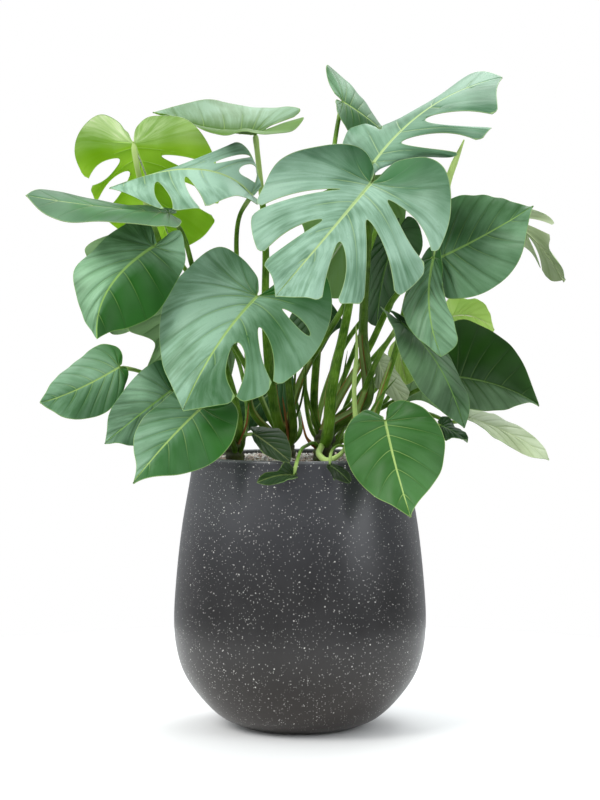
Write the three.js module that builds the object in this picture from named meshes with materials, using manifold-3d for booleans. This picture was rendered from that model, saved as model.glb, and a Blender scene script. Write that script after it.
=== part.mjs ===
// A swiss cheese plant in a round-bellied pot, standing on its flat foot.
// Millimetres, +Z up. The origin is the middle of the foot, and the plant faces -Y.
import * as THREE from "three";
import { mergeVertices } from "three/addons/utils/BufferGeometryUtils.js";
import Module from "manifold-3d";

const wasm = await Module();
wasm.setup();

// Driving dimensions
const POT_HEIGHT = 434;
const POT_WALL = 7;
const POT_FLOOR = 10;
const POT_SIDES = 32;
const SOIL_TOP = 418;
const GRAVEL_TOP = 427;
const GAP = 0.3;
const BLADE_THICKNESS = 1.6;
// Blades with a longer midrib than these get more corners.
const LARGE_BLADE = 140;
const MIDDLING_BLADE = 90;
// How far round a blade's base its stalk is trimmed, and the space that this leaves between them.
const TRIM_REACH = 16;
const STALK_GAP = 0.95;
// A stalk's number of sides, and its length for each ring of corners.
const STALK_SIDES = 6;
const STALK_STEP = 45;
const CROWN_HEIGHT = 58;
const CROWN_RADIUS = 15;
const CROWN_SIDES = 8;
const STALK_EXIT = 22;
const SPEAR_RADIUS = 4;
const SPEAR_TIP_RADIUS = 3;

// The pot's outer wall as radius and height, from the foot to just under the lip.
const POT_WALL_POINTS = [
  [92, 0],
  [128, 17],
  [162, 50],
  [187, 88],
  [199, 130],
  [202, 172],
  [198, 240],
  [189, 320],
  [177, 390],
  [171, 428],
];

// One half of a leaf blade, laid flat: how far along the midrib, and how far out to the side.
// 1 is the midrib's length, and 1 is the half's greatest width. It runs from the notch to the tip.
const HALF_OUTLINE = [
  [-0.04, 0.03],
  [-0.2, 0.12],
  [-0.27, 0.38],
  [-0.21, 0.72],
  [-0.05, 0.95],
  [0.18, 1],
  [0.45, 0.87],
  [0.68, 0.6],
  [0.87, 0.26],
  [1, 0],
];
// Where along the midrib the three guide points of each half lie, and how far out they are.
const GUIDE_ALONG = [-0.27, 0.18, 0.68];
const GUIDE_OUT = [0.38, 1, 0.6];
// Side veins of the notch lobes all start at the leaf's base, and the others along the midrib.
const LOBE_SHARE = 0.4;
const VEIN_START_POWER = 1.8;
const VEIN_SWEEP_POWER = 1.35;
const CUP_SHARE = 0.07;
// How fast the shift of a margin's points fades towards the midrib.
const SHIFT_POWER = 1.3;

// The short stems that the leaf stalks grow from: where each stands, and how it leans.
const CROWNS = {
  centre: { at: [35, -50], lean: [0.05, -0.1] },
  right: { at: [85, -85], lean: [0.15, -0.05] },
  left: { at: [-100, -45], lean: [-0.15, -0.1] },
  middle: { at: [-20, 10], lean: [-0.1, 0] },
  back: { at: [40, 75], lean: [0.1, 0.1] },
};

const COLOURS = {
  pot: 0x2e2f31,
  soil: 0x3b2a1e,
  gravel: 0xb9aea6,
  crown: 0x7d8a45,
  stalk: 0x7f9a55,
  pale: 0x9fbfae,
  fresh: 0x6f9a48,
  backlit: 0x93b83f,
  deep: 0x46693f,
  dark: 0x34473a,
  young: 0xb4c56a,
};

// Each leaf. midrib: base, middle and tip. left and right: the lobe's, the widest and the shoulder's
// guide point, where left is the left hand of one who looks from the base to the tip at the upper face.
// A shift moves ten points of a margin, from the notch to the tip, to the right and up. veins: a higher
// power brings the side veins' starts closer to the base.
// A split is where on the outline it opens, how far out it starts, its width half way and at the
// margin, and, for a closed hole, where it ends. stalk: its crown, the height and the direction in
// degrees in which it leaves it, the points on its way, and its radius at each end.
const LEAVES = {
  front_centre: {
    tone: "pale",
    midrib: [[110, -110, 860], [40, -190, 775], [-35, -240, 685]],
    left: [[190, -115, 900], [195, -185, 735], [65, -235, 675]],
    right: [[90, -95, 910], [-60, -115, 855], [-60, -180, 745]],
    leftShift: [
      [0, 0], [-8, -2], [-15, -6], [-5, -2], [1, -1], [7, 7], [13, -2], [0, -7], [0, -6], [-1, -3],
    ],
    rightShift: [
      [0, 0], [-5, -8], [-2, 1], [-4, 2], [-6, 2], [1, -6], [-4, -3], [0, -8], [2, 1], [-1, -3],
    ],
    veins: 2.4,
    leftSplits: [[0.567, 0.3, 0.045, 0.03], [0.703, 0.28, 0.02, 0.065], [0.815, 0.3, 0.03, 0.042]],
    rightSplits: [[0.622, 0.24, 0.015, 0.013], [0.78, 0.28, 0.028, 0.03]],
    stalk: ["centre", 30, 290, [[50, -85, 540], [75, -75, 665], [100, -80, 815]], 9, 4.5],
  },
  centre_left: {
    tone: "fresh",
    midrib: [[-65, -140, 685], [-125, -190, 610], [-175, -215, 515]],
    left: [[6, -100, 724], [43, -140, 635], [-56, -190, 536]],
    right: [[-78, -105, 743], [-203, -125, 683], [-206, -175, 578]],
    leftShift: [
      [0, 0], [-1, -1], [1, 3], [1, 2], [0, -3], [-2, -1], [3, 6], [-3, -4], [1, 0], [0, -3],
    ],
    rightShift: [
      [0, 0], [-12, -2], [-9, -5], [6, 4], [6, -1], [-5, 1], [0, 0], [0, -1], [-1, 2], [0, -3],
    ],
    veins: 3.5,
    leftSplits: [[0.612, 0.42, 0.034, 0, 0.86], [0.748, 0.42, 0.03, 0.004], [0.842, 0.36, 0.055, 0.003]],
    stalk: ["middle", 25, 300, [[-15, -45, 525], [-30, -70, 610], [-55, -115, 665]], 7, 4],
  },
  left: {
    tone: "deep",
    midrib: [[-220, -185, 760], [-285, -225, 695], [-300, -250, 620]],
    left: [[-172, -155, 781], [-191, -165, 694], [-256, -200, 639]],
    right: [[-222, -155, 795], [-333, -200, 720], [-323, -225, 650]],
    leftShift: [
      [0, 0], [-20, -1], [-13, 3], [5, -1], [9, -1], [-3, 3], [-4, -2], [1, -1], [5, 3], [0, 0],
    ],
    rightShift: [
      [0, 0], [-27, 2], [-19, 6], [9, -1], [11, -3], [-6, 1], [-1, 2], [2, -1], [2, -2], [0, 0],
    ],
    stalk: [
      "left", 35, 230,
      [[-130, -80, 510], [-165, -82, 635], [-195, -85, 690], [-212, -120, 735]],
      6, 3.5,
    ],
  },
  front_right_low: {
    tone: "fresh",
    midrib: [[130, -150, 495], [145, -205, 425], [165, -240, 355]],
    left: [[160, -140, 520], [220, -165, 450], [195, -205, 390]],
    right: [[105, -140, 505], [65, -175, 460], [110, -205, 395]],
    leftShift: [
      [0, 0], [0, -2], [-3, 3], [-4, 9], [-2, 8], [1, 6], [2, 2], [1, 5], [-2, 5], [-1, 1],
    ],
    rightShift: [
      [0, 0], [-2, -11], [-7, 2], [-10, 13], [-3, 4], [5, -21], [6, -25], [0, -12], [-6, 4], [-1, 1],
    ],
    stalk: ["right", 15, 290, [[108, -122, 476]], 5, 3.5],
  },
  left_low: {
    tone: "fresh",
    midrib: [[-150, -150, 515], [-200, -195, 465], [-250, -225, 405]],
    left: [[-105, -150, 525], [-120, -185, 440], [-175, -210, 415]],
    right: [[-145, -130, 550], [-245, -165, 490], [-250, -190, 455]],
    leftShift: [
      [0, 0], [0, -2], [0, -3], [1, -3], [1, -5], [-3, 0], [-7, 3], [-12, -1], [-7, 0], [1, -1],
    ],
    rightShift: [
      [0, 0], [0, -1], [-8, -2], [-9, -6], [2, -1], [8, 11], [5, 6], [0, -9], [0, -9], [1, -1],
    ],
    stalk: ["left", 12, 265, [[-115, -95, 475], [-132, -125, 508]], 5, 3.5],
  },
  left_low_back: {
    tone: "deep",
    joined: true,
    midrib: [[-200, -85, 540], [-245, -125, 505], [-300, -145, 460]],
    left: [[-165, -85, 530], [-210, -125, 480], [-260, -145, 455]],
    right: [[-205, -65, 570], [-265, -80, 550], [-295, -115, 505]],
    leftShift: [
      [0, 0], [-1, -5], [-7, -7], [-13, -5], [-13, -9], [-6, -13], [1, -9], [1, 0], [0, 5], [1, -1],
    ],
    rightShift: [
      [0, 0], [1, 2], [8, 5], [11, 7], [9, 5], [1, 4], [-1, -1], [0, -5], [4, -5], [1, -1],
    ],
    stalk: ["left", 20, 195, [[-160, -50, 500]], 4.5, 3],
  },
  far_left_low: {
    tone: "fresh",
    joined: true,
    midrib: [[-285, -45, 575], [-350, -65, 540], [-405, -85, 520]],
    left: [[-270, -50, 565], [-305, -80, 510], [-365, -95, 500]],
    right: [[-285, -15, 605], [-345, -5, 605], [-385, -45, 555]],
    leftShift: [
      [0, 0], [-10, -12], [-3, -15], [8, -8], [1, -8], [-14, -12], [-12, -10], [0, -5], [6, 1], [-1, 1],
    ],
    rightShift: [
      [0, 0], [-15, 0], [-12, 1], [1, -1], [-3, -13], [-14, -23], [-13, -17], [-3, -5], [4, 4], [-1, 1],
    ],
    stalk: ["left", 12, 160, [[-200, -15, 540], [-255, -25, 568]], 4.5, 3],
  },
  backlit: {
    tone: "backlit",
    midrib: [[-255, -130, 920], [-225, -75, 835], [-200, -20, 760]],
    left: [[-308, -150, 959], [-334, -60, 858], [-273, -20, 778]],
    right: [[-218, -140, 965], [-128, -55, 872], [-142, -20, 786]],
    leftShift: [
      [0, 0], [4, -8], [3, -2], [-1, 1], [-5, 2], [5, -2], [-3, 0], [1, 0], [0, 0], [3, -1],
    ],
    rightShift: [
      [0, 0], [6, -10], [1, -8], [-2, 4], [-3, 3], [3, 0], [-1, -4], [0, 2], [1, 0], [3, -1],
    ],
    leftSplits: [[0.54, 0.38, 0.05, 0.025], [0.63, 0.3, 0.045, 0.05]],
    rightSplits: [[0.545, 0.33, 0.035, 0.05], [0.667, 0.45, 0.05, 0.05]],
    stalk: [
      "left", 42, 100,
      [[-110, -25, 520], [-150, -40, 620], [-210, -65, 745], [-238, -100, 830], [-250, -128, 885]],
      7, 4,
    ],
  },
  far_left: {
    tone: "pale",
    lobes: 0.3,
    midrib: [[-200, -150, 810], [-310, -190, 820], [-410, -200, 835]],
    left: [[-180, -185, 800], [-240, -255, 795], [-350, -265, 795]],
    right: [[-190, -125, 820], [-245, -125, 825], [-350, -140, 840]],
    leftShift: [
      [0, 0], [0, -7], [0, -10], [-2, -11], [-13, -4], [-10, -5], [3, -5], [1, -7], [3, -6], [-1, 1],
    ],
    rightShift: [
      [0, 0], [-1, -1], [-2, -5], [-3, -10], [-11, -9], [-8, 0], [-1, -1], [1, -3], [0, 2], [-1, 1],
    ],
    stalk: [
      "left", 35, 300,
      [[-100, -85, 520], [-130, -75, 620], [-165, -92, 725], [-180, -120, 780]],
      6, 3.5,
    ],
  },
  top_left: {
    tone: "pale",
    midrib: [[-70, -60, 940], [-150, -70, 950], [-230, -60, 975]],
    left: [[-9, -95, 943], [-89, -140, 930], [-154, -92, 942]],
    right: [[-13, -30, 966], [-77, 20, 990], [-151, -10, 992]],
    leftShift: [
      [0, 0], [2, 12], [13, 15], [-3, -9], [-7, -6], [0, 6], [6, 0], [-2, -2], [-4, 2], [0, -1],
    ],
    rightShift: [
      [0, 0], [2, 13], [12, 7], [-4, -3], [-7, -5], [5, 1], [0, 2], [-1, 1], [-1, -4], [0, -1],
    ],
    rightSplits: [[0.16, 0.55, 0.02, 0.06]],
    stalk: ["middle", 42, 240, [[-45, -10, 530], [-55, -5, 650], [-55, -5, 775], [-65, -15, 890]], 8, 4],
  },
  upper_left: {
    tone: "pale",
    lobes: 0.5,
    midrib: [[-75, -85, 843], [-160, -140, 879], [-290, -160, 849]],
    left: [[-69, -90, 826], [-127, -180, 826], [-212, -195, 813]],
    right: [[-62, -60, 844], [-78, -45, 917], [-149, -112, 893]],
    leftShift: [
      [0, 0], [0, 5], [1, -3], [3, -2], [-1, 4], [-3, -1], [5, 0], [-2, -1], [0, 2], [0, 0],
    ],
    rightShift: [
      [0, 0], [1, 19], [1, 11], [0, -1], [0, -4], [-1, -7], [0, 9], [1, -4], [-1, -4], [0, 0],
    ],
    veins: 0.5,
    leftSplits: [[0.6, 0.2, 0.03, 0.03], [0.74, 0.25, 0.04, 0.03]],
    rightSplits: [[0.42, 0.22, 0.05, 0, 0.93], [0.53, 0.22, 0.05, 0, 0.93]],
    stalk: ["middle", 25, 160, [[-78, 15, 505], [-85, 0, 620], [-100, -30, 745], [-95, -60, 810]], 6, 3.5],
  },
  top_right: {
    tone: "pale",
    midrib: [[115, -60, 895], [210, 0, 990], [325, 40, 1040]],
    left: [[71, 0, 886], [108, 60, 960], [222, 100, 1010]],
    right: [[118, -60, 864], [251, -90, 907], [308, -60, 971]],
    leftShift: [
      [0, 0], [3, -3], [0, 4], [-2, -6], [2, 1], [2, 9], [-3, -8], [-1, -6], [5, 13], [1, 1],
    ],
    rightShift: [
      [0, 0], [0, 4], [2, 11], [1, 0], [1, -6], [-6, -4], [5, 10], [1, -3], [-5, -6], [1, 1],
    ],
    leftSplits: [[0.6, 0.45, 0.02, 0.03]],
    rightSplits: [[0.6, 0.2, 0.05, 0.07], [0.74, 0.2, 0.05, 0.08]],
    stalk: [
      "centre", 40, 40,
      [[105, -40, 520], [100, -30, 630], [108, -15, 775], [112, -35, 865]],
      10, 4.5,
    ],
  },
  top_centre: {
    tone: "fresh",
    midrib: [[70, 115, 1010], [110, 125, 985], [145, 165, 960]],
    left: [[42, 155, 1052], [83, 175, 1045], [112, 185, 1004]],
    right: [[53, 100, 1006], [79, 92, 961], [107, 118, 955]],
    leftShift: [
      [0, 0], [3, -2], [1, -5], [-3, 5], [1, -3], [1, 1], [-1, 2], [1, -1], [0, 0], [1, 5],
    ],
    rightShift: [
      [0, 0], [4, -3], [4, -3], [-2, 0], [-3, 3], [0, -2], [2, 0], [0, 1], [-3, 0], [1, 5],
    ],
    stalk: ["back", 40, 215, [[22, 50, 520], [35, 60, 680], [48, 80, 860], [60, 105, 960]], 6, 3.5],
  },
  right: {
    tone: "deep",
    midrib: [[215, -100, 745], [285, -120, 780], [360, -110, 825]],
    left: [[200, -50, 770], [290, -60, 845], [330, -80, 830]],
    right: [[195, -105, 700], [295, -135, 695], [345, -145, 760]],
    leftShift: [
      [0, 0], [14, 35], [18, 28], [5, 19], [-10, 8], [-17, 0], [-16, 0], [-10, 2], [-5, 1], [-1, 0],
    ],
    rightShift: [
      [0, 0], [21, 1], [24, 2], [8, 3], [5, 7], [-4, 0], [-6, -7], [-4, -6], [-4, -5], [-1, 0],
    ],
    stalk: ["centre", 18, 100, [[60, -15, 520], [110, -5, 605], [150, -20, 685], [200, -75, 730]], 7, 4],
  },
  far_right: {
    tone: "dark",
    midrib: [[285, 20, 820], [360, 0, 790], [420, -20, 710]],
    left: [[269, 50, 782], [350, 30, 771], [383, 0, 728]],
    right: [[246, 0, 820], [367, -20, 827], [401, -30, 765]],
    leftShift: [
      [0, 0], [-1, -1], [4, 1], [3, 0], [-8, -2], [1, -1], [3, 2], [0, 0], [-4, -2], [2, 4],
    ],
    rightShift: [
      [0, 0], [0, 0], [3, -1], [2, -1], [-4, 1], [-2, 0], [10, -1], [-9, -1], [4, 2], [2, 4],
    ],
    leftSplits: [[0.8, 0.3, 0.04, 0.02]],
    rightSplits: [[0.7, 0.15, 0.04, 0.06]],
    stalk: ["back", 42, 345, [[110, 65, 530], [185, 45, 650], [255, 5, 770]], 6, 3.5],
  },
  right_centre: {
    tone: "deep",
    midrib: [[205, -130, 745], [195, -180, 670], [210, -200, 600]],
    left: [[221, -120, 750], [219, -170, 681], [238, -190, 630]],
    right: [[195, -110, 748], [157, -150, 671], [175, -185, 624]],
    leftShift: [
      [0, 0], [-2, -4], [-4, -7], [-1, 0], [2, 5], [2, -2], [-4, -2], [-3, 1], [7, 1], [2, -7],
    ],
    rightShift: [
      [0, 0], [-4, -3], [-7, -8], [1, 2], [5, 5], [-1, -2], [-2, -2], [0, 0], [1, 2], [2, -7],
    ],
    stalk: [
      "right", 40, 30,
      [[130, -72, 540], [152, -75, 610], [168, -85, 690], [185, -105, 728]],
      6, 3.5,
    ],
  },
  right_low: {
    tone: "dark",
    midrib: [[155, -120, 645], [210, -170, 580], [250, -160, 485]],
    left: [[139, -100, 661], [221, -130, 598], [252, -150, 544]],
    right: [[122, -120, 662], [151, -190, 604], [179, -200, 541]],
    leftShift: [
      [0, 0], [6, 1], [3, 0], [-3, 0], [-1, 0], [5, -1], [-4, 2], [-2, -1], [4, -1], [1, -1],
    ],
    rightShift: [
      [0, 0], [0, 2], [0, 5], [1, -1], [-1, -1], [-2, -1], [2, 1], [0, -1], [-3, -1], [1, -1],
    ],
    stalk: ["right", 40, 110, [[98, -62, 530], [122, -75, 590]], 6, 3.5],
  },
  right_dark: {
    tone: "dark",
    midrib: [[245, -60, 560], [315, -70, 545], [375, -70, 515]],
    left: [[218, -20, 608], [298, -20, 634], [345, -50, 589]],
    right: [[222, -80, 534], [290, -100, 508], [336, -95, 513]],
    leftShift: [
      [0, 0], [3, 7], [4, 7], [-1, -2], [-1, -2], [1, 1], [0, 2], [0, -1], [-2, 0], [0, 1],
    ],
    rightShift: [
      [0, 0], [5, -9], [5, -9], [-1, 2], [-3, 6], [0, 0], [2, -4], [0, 0], [-2, 4], [0, 1],
    ],
    stalk: ["back", 30, 315, [[125, 30, 505], [205, -5, 545]], 5, 3.5],
  },
  young_pale: {
    tone: "young",
    joined: true,
    midrib: [[245, 30, 655], [280, 40, 655], [315, 40, 635]],
    left: [[245, 40, 675], [275, 50, 680], [305, 50, 670]],
    right: [[250, 30, 635], [270, 30, 625], [300, 30, 625]],
    leftShift: [
      [0, 0], [-1, 8], [-8, 6], [-9, -11], [0, -10], [11, 4], [9, 4], [1, -7], [-4, -9], [-1, -3],
    ],
    rightShift: [
      [0, 0], [-1, 0], [-5, 0], [-11, 1], [-2, 1], [11, -1], [9, -2], [-1, -2], [-5, -3], [-1, -3],
    ],
    stalk: ["back", 20, 20, [[110, 100, 520], [190, 80, 600], [228, 50, 648]], 4, 2.5],
  },
  right_lowest: {
    tone: "young",
    joined: true,
    lobes: 0.4,
    midrib: [[265, -60, 495], [330, -90, 470], [385, -110, 435]],
    left: [[275, -10, 505], [315, -30, 495], [360, -70, 465]],
    right: [[265, -100, 485], [300, -120, 470], [350, -130, 440]],
    stalk: ["back", 8, 335, [[115, 50, 470], [195, 10, 500], [240, -40, 488]], 4.5, 3],
  },
  right_small: {
    tone: "dark",
    joined: true,
    midrib: [[220, -90, 485], [240, -105, 475], [260, -110, 460]],
    left: [[220, -75, 495], [240, -80, 485], [255, -95, 475]],
    right: [[215, -100, 475], [230, -120, 465], [245, -120, 465]],
    stalk: ["right", 20, 340, [[150, -92, 472], [190, -88, 490]], 3.5, 2.5],
  },
  rim_left: {
    tone: "fresh",
    joined: true,
    midrib: [[-70, -150, 475], [-40, -175, 455], [-15, -190, 435]],
    left: [[-65, -130, 485], [-25, -150, 470], [-15, -170, 450]],
    right: [[-75, -150, 465], [-65, -175, 445], [-35, -190, 435]],
    leftShift: [
      [0, 0], [0, 0], [0, -2], [0, -1], [-1, 3], [4, 2], [3, 1], [1, 0], [0, -1], [0, -1],
    ],
    rightShift: [
      [0, 0], [5, -3], [5, -1], [1, 7], [8, 3], [16, -3], [15, -4], [5, 0], [-1, 0], [0, -1],
    ],
    stalk: ["left", 10, 300, [[-85, -110, 470]], 3.5, 2.5],
  },
  rim_front: {
    tone: "deep",
    joined: true,
    midrib: [[-10, -195, 415], [-35, -210, 415], [-65, -215, 405]],
    left: [[-5, -200, 410], [-30, -215, 405], [-50, -215, 400]],
    right: [[-10, -190, 425], [-30, -205, 425], [-50, -210, 420]],
    stalk: ["centre", 15, 240, [[10, -120, 455], [0, -170, 448]], 3, 2.5],
  },
  rim_dark: {
    tone: "dark",
    joined: true,
    midrib: [[45, -190, 430], [60, -205, 420], [75, -210, 405]],
    left: [[50, -185, 430], [65, -195, 425], [75, -205, 415]],
    right: [[45, -190, 420], [50, -205, 410], [65, -210, 405]],
    stalk: ["right", 10, 230, [[58, -140, 456], [47, -174, 447]], 3, 2],
  },
  crumpled: {
    tone: "dark",
    joined: true,
    midrib: [[125, -20, 585], [140, -35, 555], [170, -45, 525]],
    left: [[135, 0, 595], [155, -10, 565], [170, -25, 540]],
    right: [[120, -25, 575], [125, -50, 540], [150, -55, 520]],
    stalk: ["centre", 12, 20, [[88, -12, 520], [115, -8, 560]], 3.5, 2.5],
  },
  back_pale: {
    tone: "young",
    joined: true,
    midrib: [[160, 40, 610], [165, 35, 580], [172, 28, 545]],
    left: [[170, 50, 615], [185, 45, 580], [185, 35, 555]],
    right: [[150, 30, 615], [145, 20, 580], [160, 20, 550]],
    stalk: ["back", 35, 270, [[110, 45, 540]], 3.5, 2.5],
  },
  back_olive: {
    tone: "dark",
    joined: true,
    midrib: [[160, 90, 795], [135, 70, 715], [125, 40, 640]],
    left: [[195, 80, 805], [170, 60, 730], [155, 50, 680]],
    right: [[140, 100, 800], [110, 95, 725], [110, 70, 665]],
    stalk: ["back", 35, 100, [[75, 130, 560], [125, 125, 690]], 5, 3.5],
  },
  back_centre: {
    tone: "dark",
    joined: true,
    midrib: [[28, 112, 680], [18, 98, 632], [3, 75, 579]],
    left: [[53, 112, 675], [58, 105, 632], [33, 85, 594]],
    right: [[8, 120, 684], [-17, 118, 632], [-17, 100, 594]],
    stalk: ["back", 25, 165, [[8, 112, 550], [18, 138, 640]], 4, 3],
  },
  back_low: {
    tone: "deep",
    joined: true,
    midrib: [[-25, 90, 560], [-60, 70, 520], [-100, 40, 475]],
    left: [[-10, 80, 530], [-40, 60, 485], [-80, 50, 470]],
    right: [[-40, 100, 570], [-90, 90, 545], [-110, 60, 505]],
    stalk: ["middle", 25, 20, [[-5, 85, 510]], 4, 3],
  },
  back_left: {
    tone: "fresh",
    joined: true,
    midrib: [[-180, 42, 682], [-205, 18, 615], [-225, -8, 545]],
    left: [[-226, 22, 682], [-242, 8, 620], [-242, -3, 580]],
    right: [[-140, 58, 680], [-145, 42, 610], [-185, 15, 560]],
    stalk: ["left", 25, 145, [[-135, 0, 520], [-170, 22, 610]], 5, 3],
  },
  back_high: {
    tone: "pale",
    joined: true,
    midrib: [[140, 110, 865], [75, 130, 785], [25, 120, 705]],
    left: [[85, 115, 880], [5, 130, 805], [-15, 125, 740]],
    right: [[175, 115, 825], [140, 130, 750], [85, 125, 695]],
    stalk: ["middle", 42, 75, [[5, 25, 560], [75, 25, 680], [125, 55, 800]], 6, 3.5],
  },
  back_right_low: {
    tone: "deep",
    joined: true,
    midrib: [[200, 110, 605], [245, 150, 550], [295, 160, 490]],
    left: [[165, 120, 570], [190, 160, 515], [245, 165, 490]],
    right: [[230, 110, 630], [300, 140, 590], [320, 155, 530]],
    stalk: ["back", 8, 50, [[110, 110, 480], [165, 100, 550]], 4.5, 3],
  },
  back_left_low: {
    tone: "deep",
    joined: true,
    midrib: [[-125, 110, 630], [-175, 150, 575], [-215, 160, 515]],
    left: [[-165, 110, 650], [-230, 140, 615], [-240, 155, 555]],
    right: [[-105, 120, 600], [-125, 150, 545], [-180, 160, 510]],
    stalk: ["left", 18, 60, [[-85, 30, 500], [-100, 80, 580]], 4.5, 3],
  },
  back_upper_left: {
    tone: "fresh",
    joined: true,
    midrib: [[-220, 50, 780], [-280, 85, 710], [-315, 95, 635]],
    left: [[-260, 50, 800], [-345, 80, 745], [-350, 90, 680]],
    right: [[-195, 60, 745], [-220, 90, 665], [-280, 95, 630]],
    stalk: ["middle", 42, 150, [[-80, 50, 560], [-150, 40, 680]], 5, 3.5],
  },
  back_upper_right: {
    tone: "deep",
    joined: true,
    midrib: [[255, 90, 785], [300, 125, 755], [335, 130, 715]],
    left: [[235, 100, 765], [255, 130, 720], [290, 135, 705]],
    right: [[280, 90, 815], [345, 115, 800], [355, 125, 755]],
    stalk: ["back", 15, 130, [[70, 160, 600], [170, 120, 720]], 5, 3.5],
  },
};

// The new leaf, still rolled up in a thin spear.
const SPEAR_POINTS = [
  [100, 95, 560],
  [180, 60, 665],
  [225, 20, 800],
  [235, -10, 870],
  [260, -20, 935],
];

// Closed triangle geometry as a solid that can be joined and cut, with its faces turned outwards.
function solidOf(geometry) {
  const bare = geometry.clone();
  bare.deleteAttribute("normal");
  bare.deleteAttribute("uv");
  const merged = mergeVertices(bare, 1e-4);
  const triVerts = new Uint32Array(merged.index.array);
  const vertProperties = merged.attributes.position.array;
  const solid = new wasm.Manifold(new wasm.Mesh({ numProp: 3, vertProperties, triVerts }));
  if (solid.volume() > 0) return solid;
  return new wasm.Manifold(
    new wasm.Mesh({ numProp: 3, vertProperties, triVerts: triVerts.slice().reverse() }),
  );
}

function geometryOf(solid) {
  const { vertProperties, numProp, triVerts } = solid.getMesh();
  const positions = new Float32Array((vertProperties.length / numProp) * 3);
  for (let i = 0; i < positions.length / 3; i++) {
    positions.set(vertProperties.subarray(i * numProp, i * numProp + 3), i * 3);
  }
  const geometry = new THREE.BufferGeometry();
  geometry.setAttribute("position", new THREE.BufferAttribute(positions, 3));
  geometry.setIndex(new THREE.BufferAttribute(triVerts, 1));
  return geometry;
}

function largestBody(solid) {
  const bodies = solid.decompose();
  return bodies.reduce((best, body) => (body.volume() > best.volume() ? body : best));
}

function lathe(profile, sides) {
  const points = profile.map(([radius, height]) => new THREE.Vector2(radius, height));
  const geometry = new THREE.LatheGeometry(points, sides);
  geometry.rotateX(Math.PI / 2);
  return geometry;
}

// The pot's inner wall, one wall thickness in from the outer one, above the floor.
function innerWall() {
  const above = POT_WALL_POINTS.filter(([, height]) => height > POT_FLOOR);
  return above.map(([radius, height]) => [radius - POT_WALL, height]);
}

function planterGeometry() {
  const [lipRadius] = POT_WALL_POINTS.at(-1);
  const lip = [
    [lipRadius + 1, POT_HEIGHT - 2],
    [lipRadius - 1, POT_HEIGHT],
    [lipRadius - 5, POT_HEIGHT],
  ];
  const floorEdge = [innerWall()[0][0] - 12, POT_FLOOR];
  return lathe(
    [[0, 0], ...POT_WALL_POINTS, ...lip, ...innerWall().reverse(), floorEdge, [0, POT_FLOOR]],
    POT_SIDES,
  );
}

// The radius of the inner wall at a height, less a fitting gap.
function insideRadius(height) {
  const wall = innerWall();
  const above = wall.findIndex(([, h]) => h >= height);
  const [r0, h0] = wall[above - 1];
  const [r1, h1] = wall[above];
  return r0 + ((r1 - r0) * (height - h0)) / (h1 - h0) - 2 * GAP;
}

function soilGeometry() {
  const wall = innerWall().filter(([, height]) => height < SOIL_TOP);
  const side = wall.map(([radius, height]) => [radius - 2 * GAP, height + GAP]);
  const bottom = [side[0][0] - 13, POT_FLOOR + GAP];
  return lathe(
    [[0, POT_FLOOR + GAP], bottom, ...side, [insideRadius(SOIL_TOP), SOIL_TOP], [0, SOIL_TOP]],
    POT_SIDES,
  );
}

function gravelGeometry() {
  const low = SOIL_TOP + GAP;
  const slab = [
    [0, low],
    [insideRadius(low), low],
    [insideRadius(GRAVEL_TOP), GRAVEL_TOP - 2],
    [insideRadius(GRAVEL_TOP) - 10, GRAVEL_TOP],
    [0, GRAVEL_TOP + 1],
  ];
  return lathe(slab, POT_SIDES);
}

// A point on a crown's leaning axis, at a height above the soil.
function crownAxis({ at, lean }, height) {
  return new THREE.Vector3(at[0] + lean[0] * height, at[1] + lean[1] * height, SOIL_TOP + height);
}

function crownGeometry(crown, grown) {
  const radius = CROWN_RADIUS + grown;
  const top = CROWN_HEIGHT + grown;
  const foot = GAP - grown;
  const profile = [
    [0, foot],
    [radius * 0.9, foot],
    [radius, 0.3 * top],
    [radius * 0.85, 0.8 * top],
    [radius * 0.4, top],
    [0, top],
  ];
  const geometry = lathe(profile, CROWN_SIDES);
  const [leanX, leanY] = crown.lean;
  const [x, y] = crown.at;
  const lean = new THREE.Matrix4();
  lean.set(1, 0, leanX, x, 0, 1, leanY, y, 0, 0, 1, SOIL_TOP, 0, 0, 0, 1);
  return geometry.applyMatrix4(lean);
}

// Lagrange interpolation of three vectors given at three places.
function through(places, vectors, place) {
  const sum = new THREE.Vector3();
  for (let i = 0; i < 3; i++) {
    const others = [0, 1, 2].filter((j) => j !== i);
    const weight = others.reduce((w, j) => (w * (place - places[j])) / (places[i] - places[j]), 1);
    sum.addScaledVector(vectors[i], weight);
  }
  return sum;
}

const vector = ([x, y, z]) => new THREE.Vector3(x, y, z);
const outline = new THREE.SplineCurve(HALF_OUTLINE.map(([along, out]) => new THREE.Vector2(along, out)));

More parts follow.
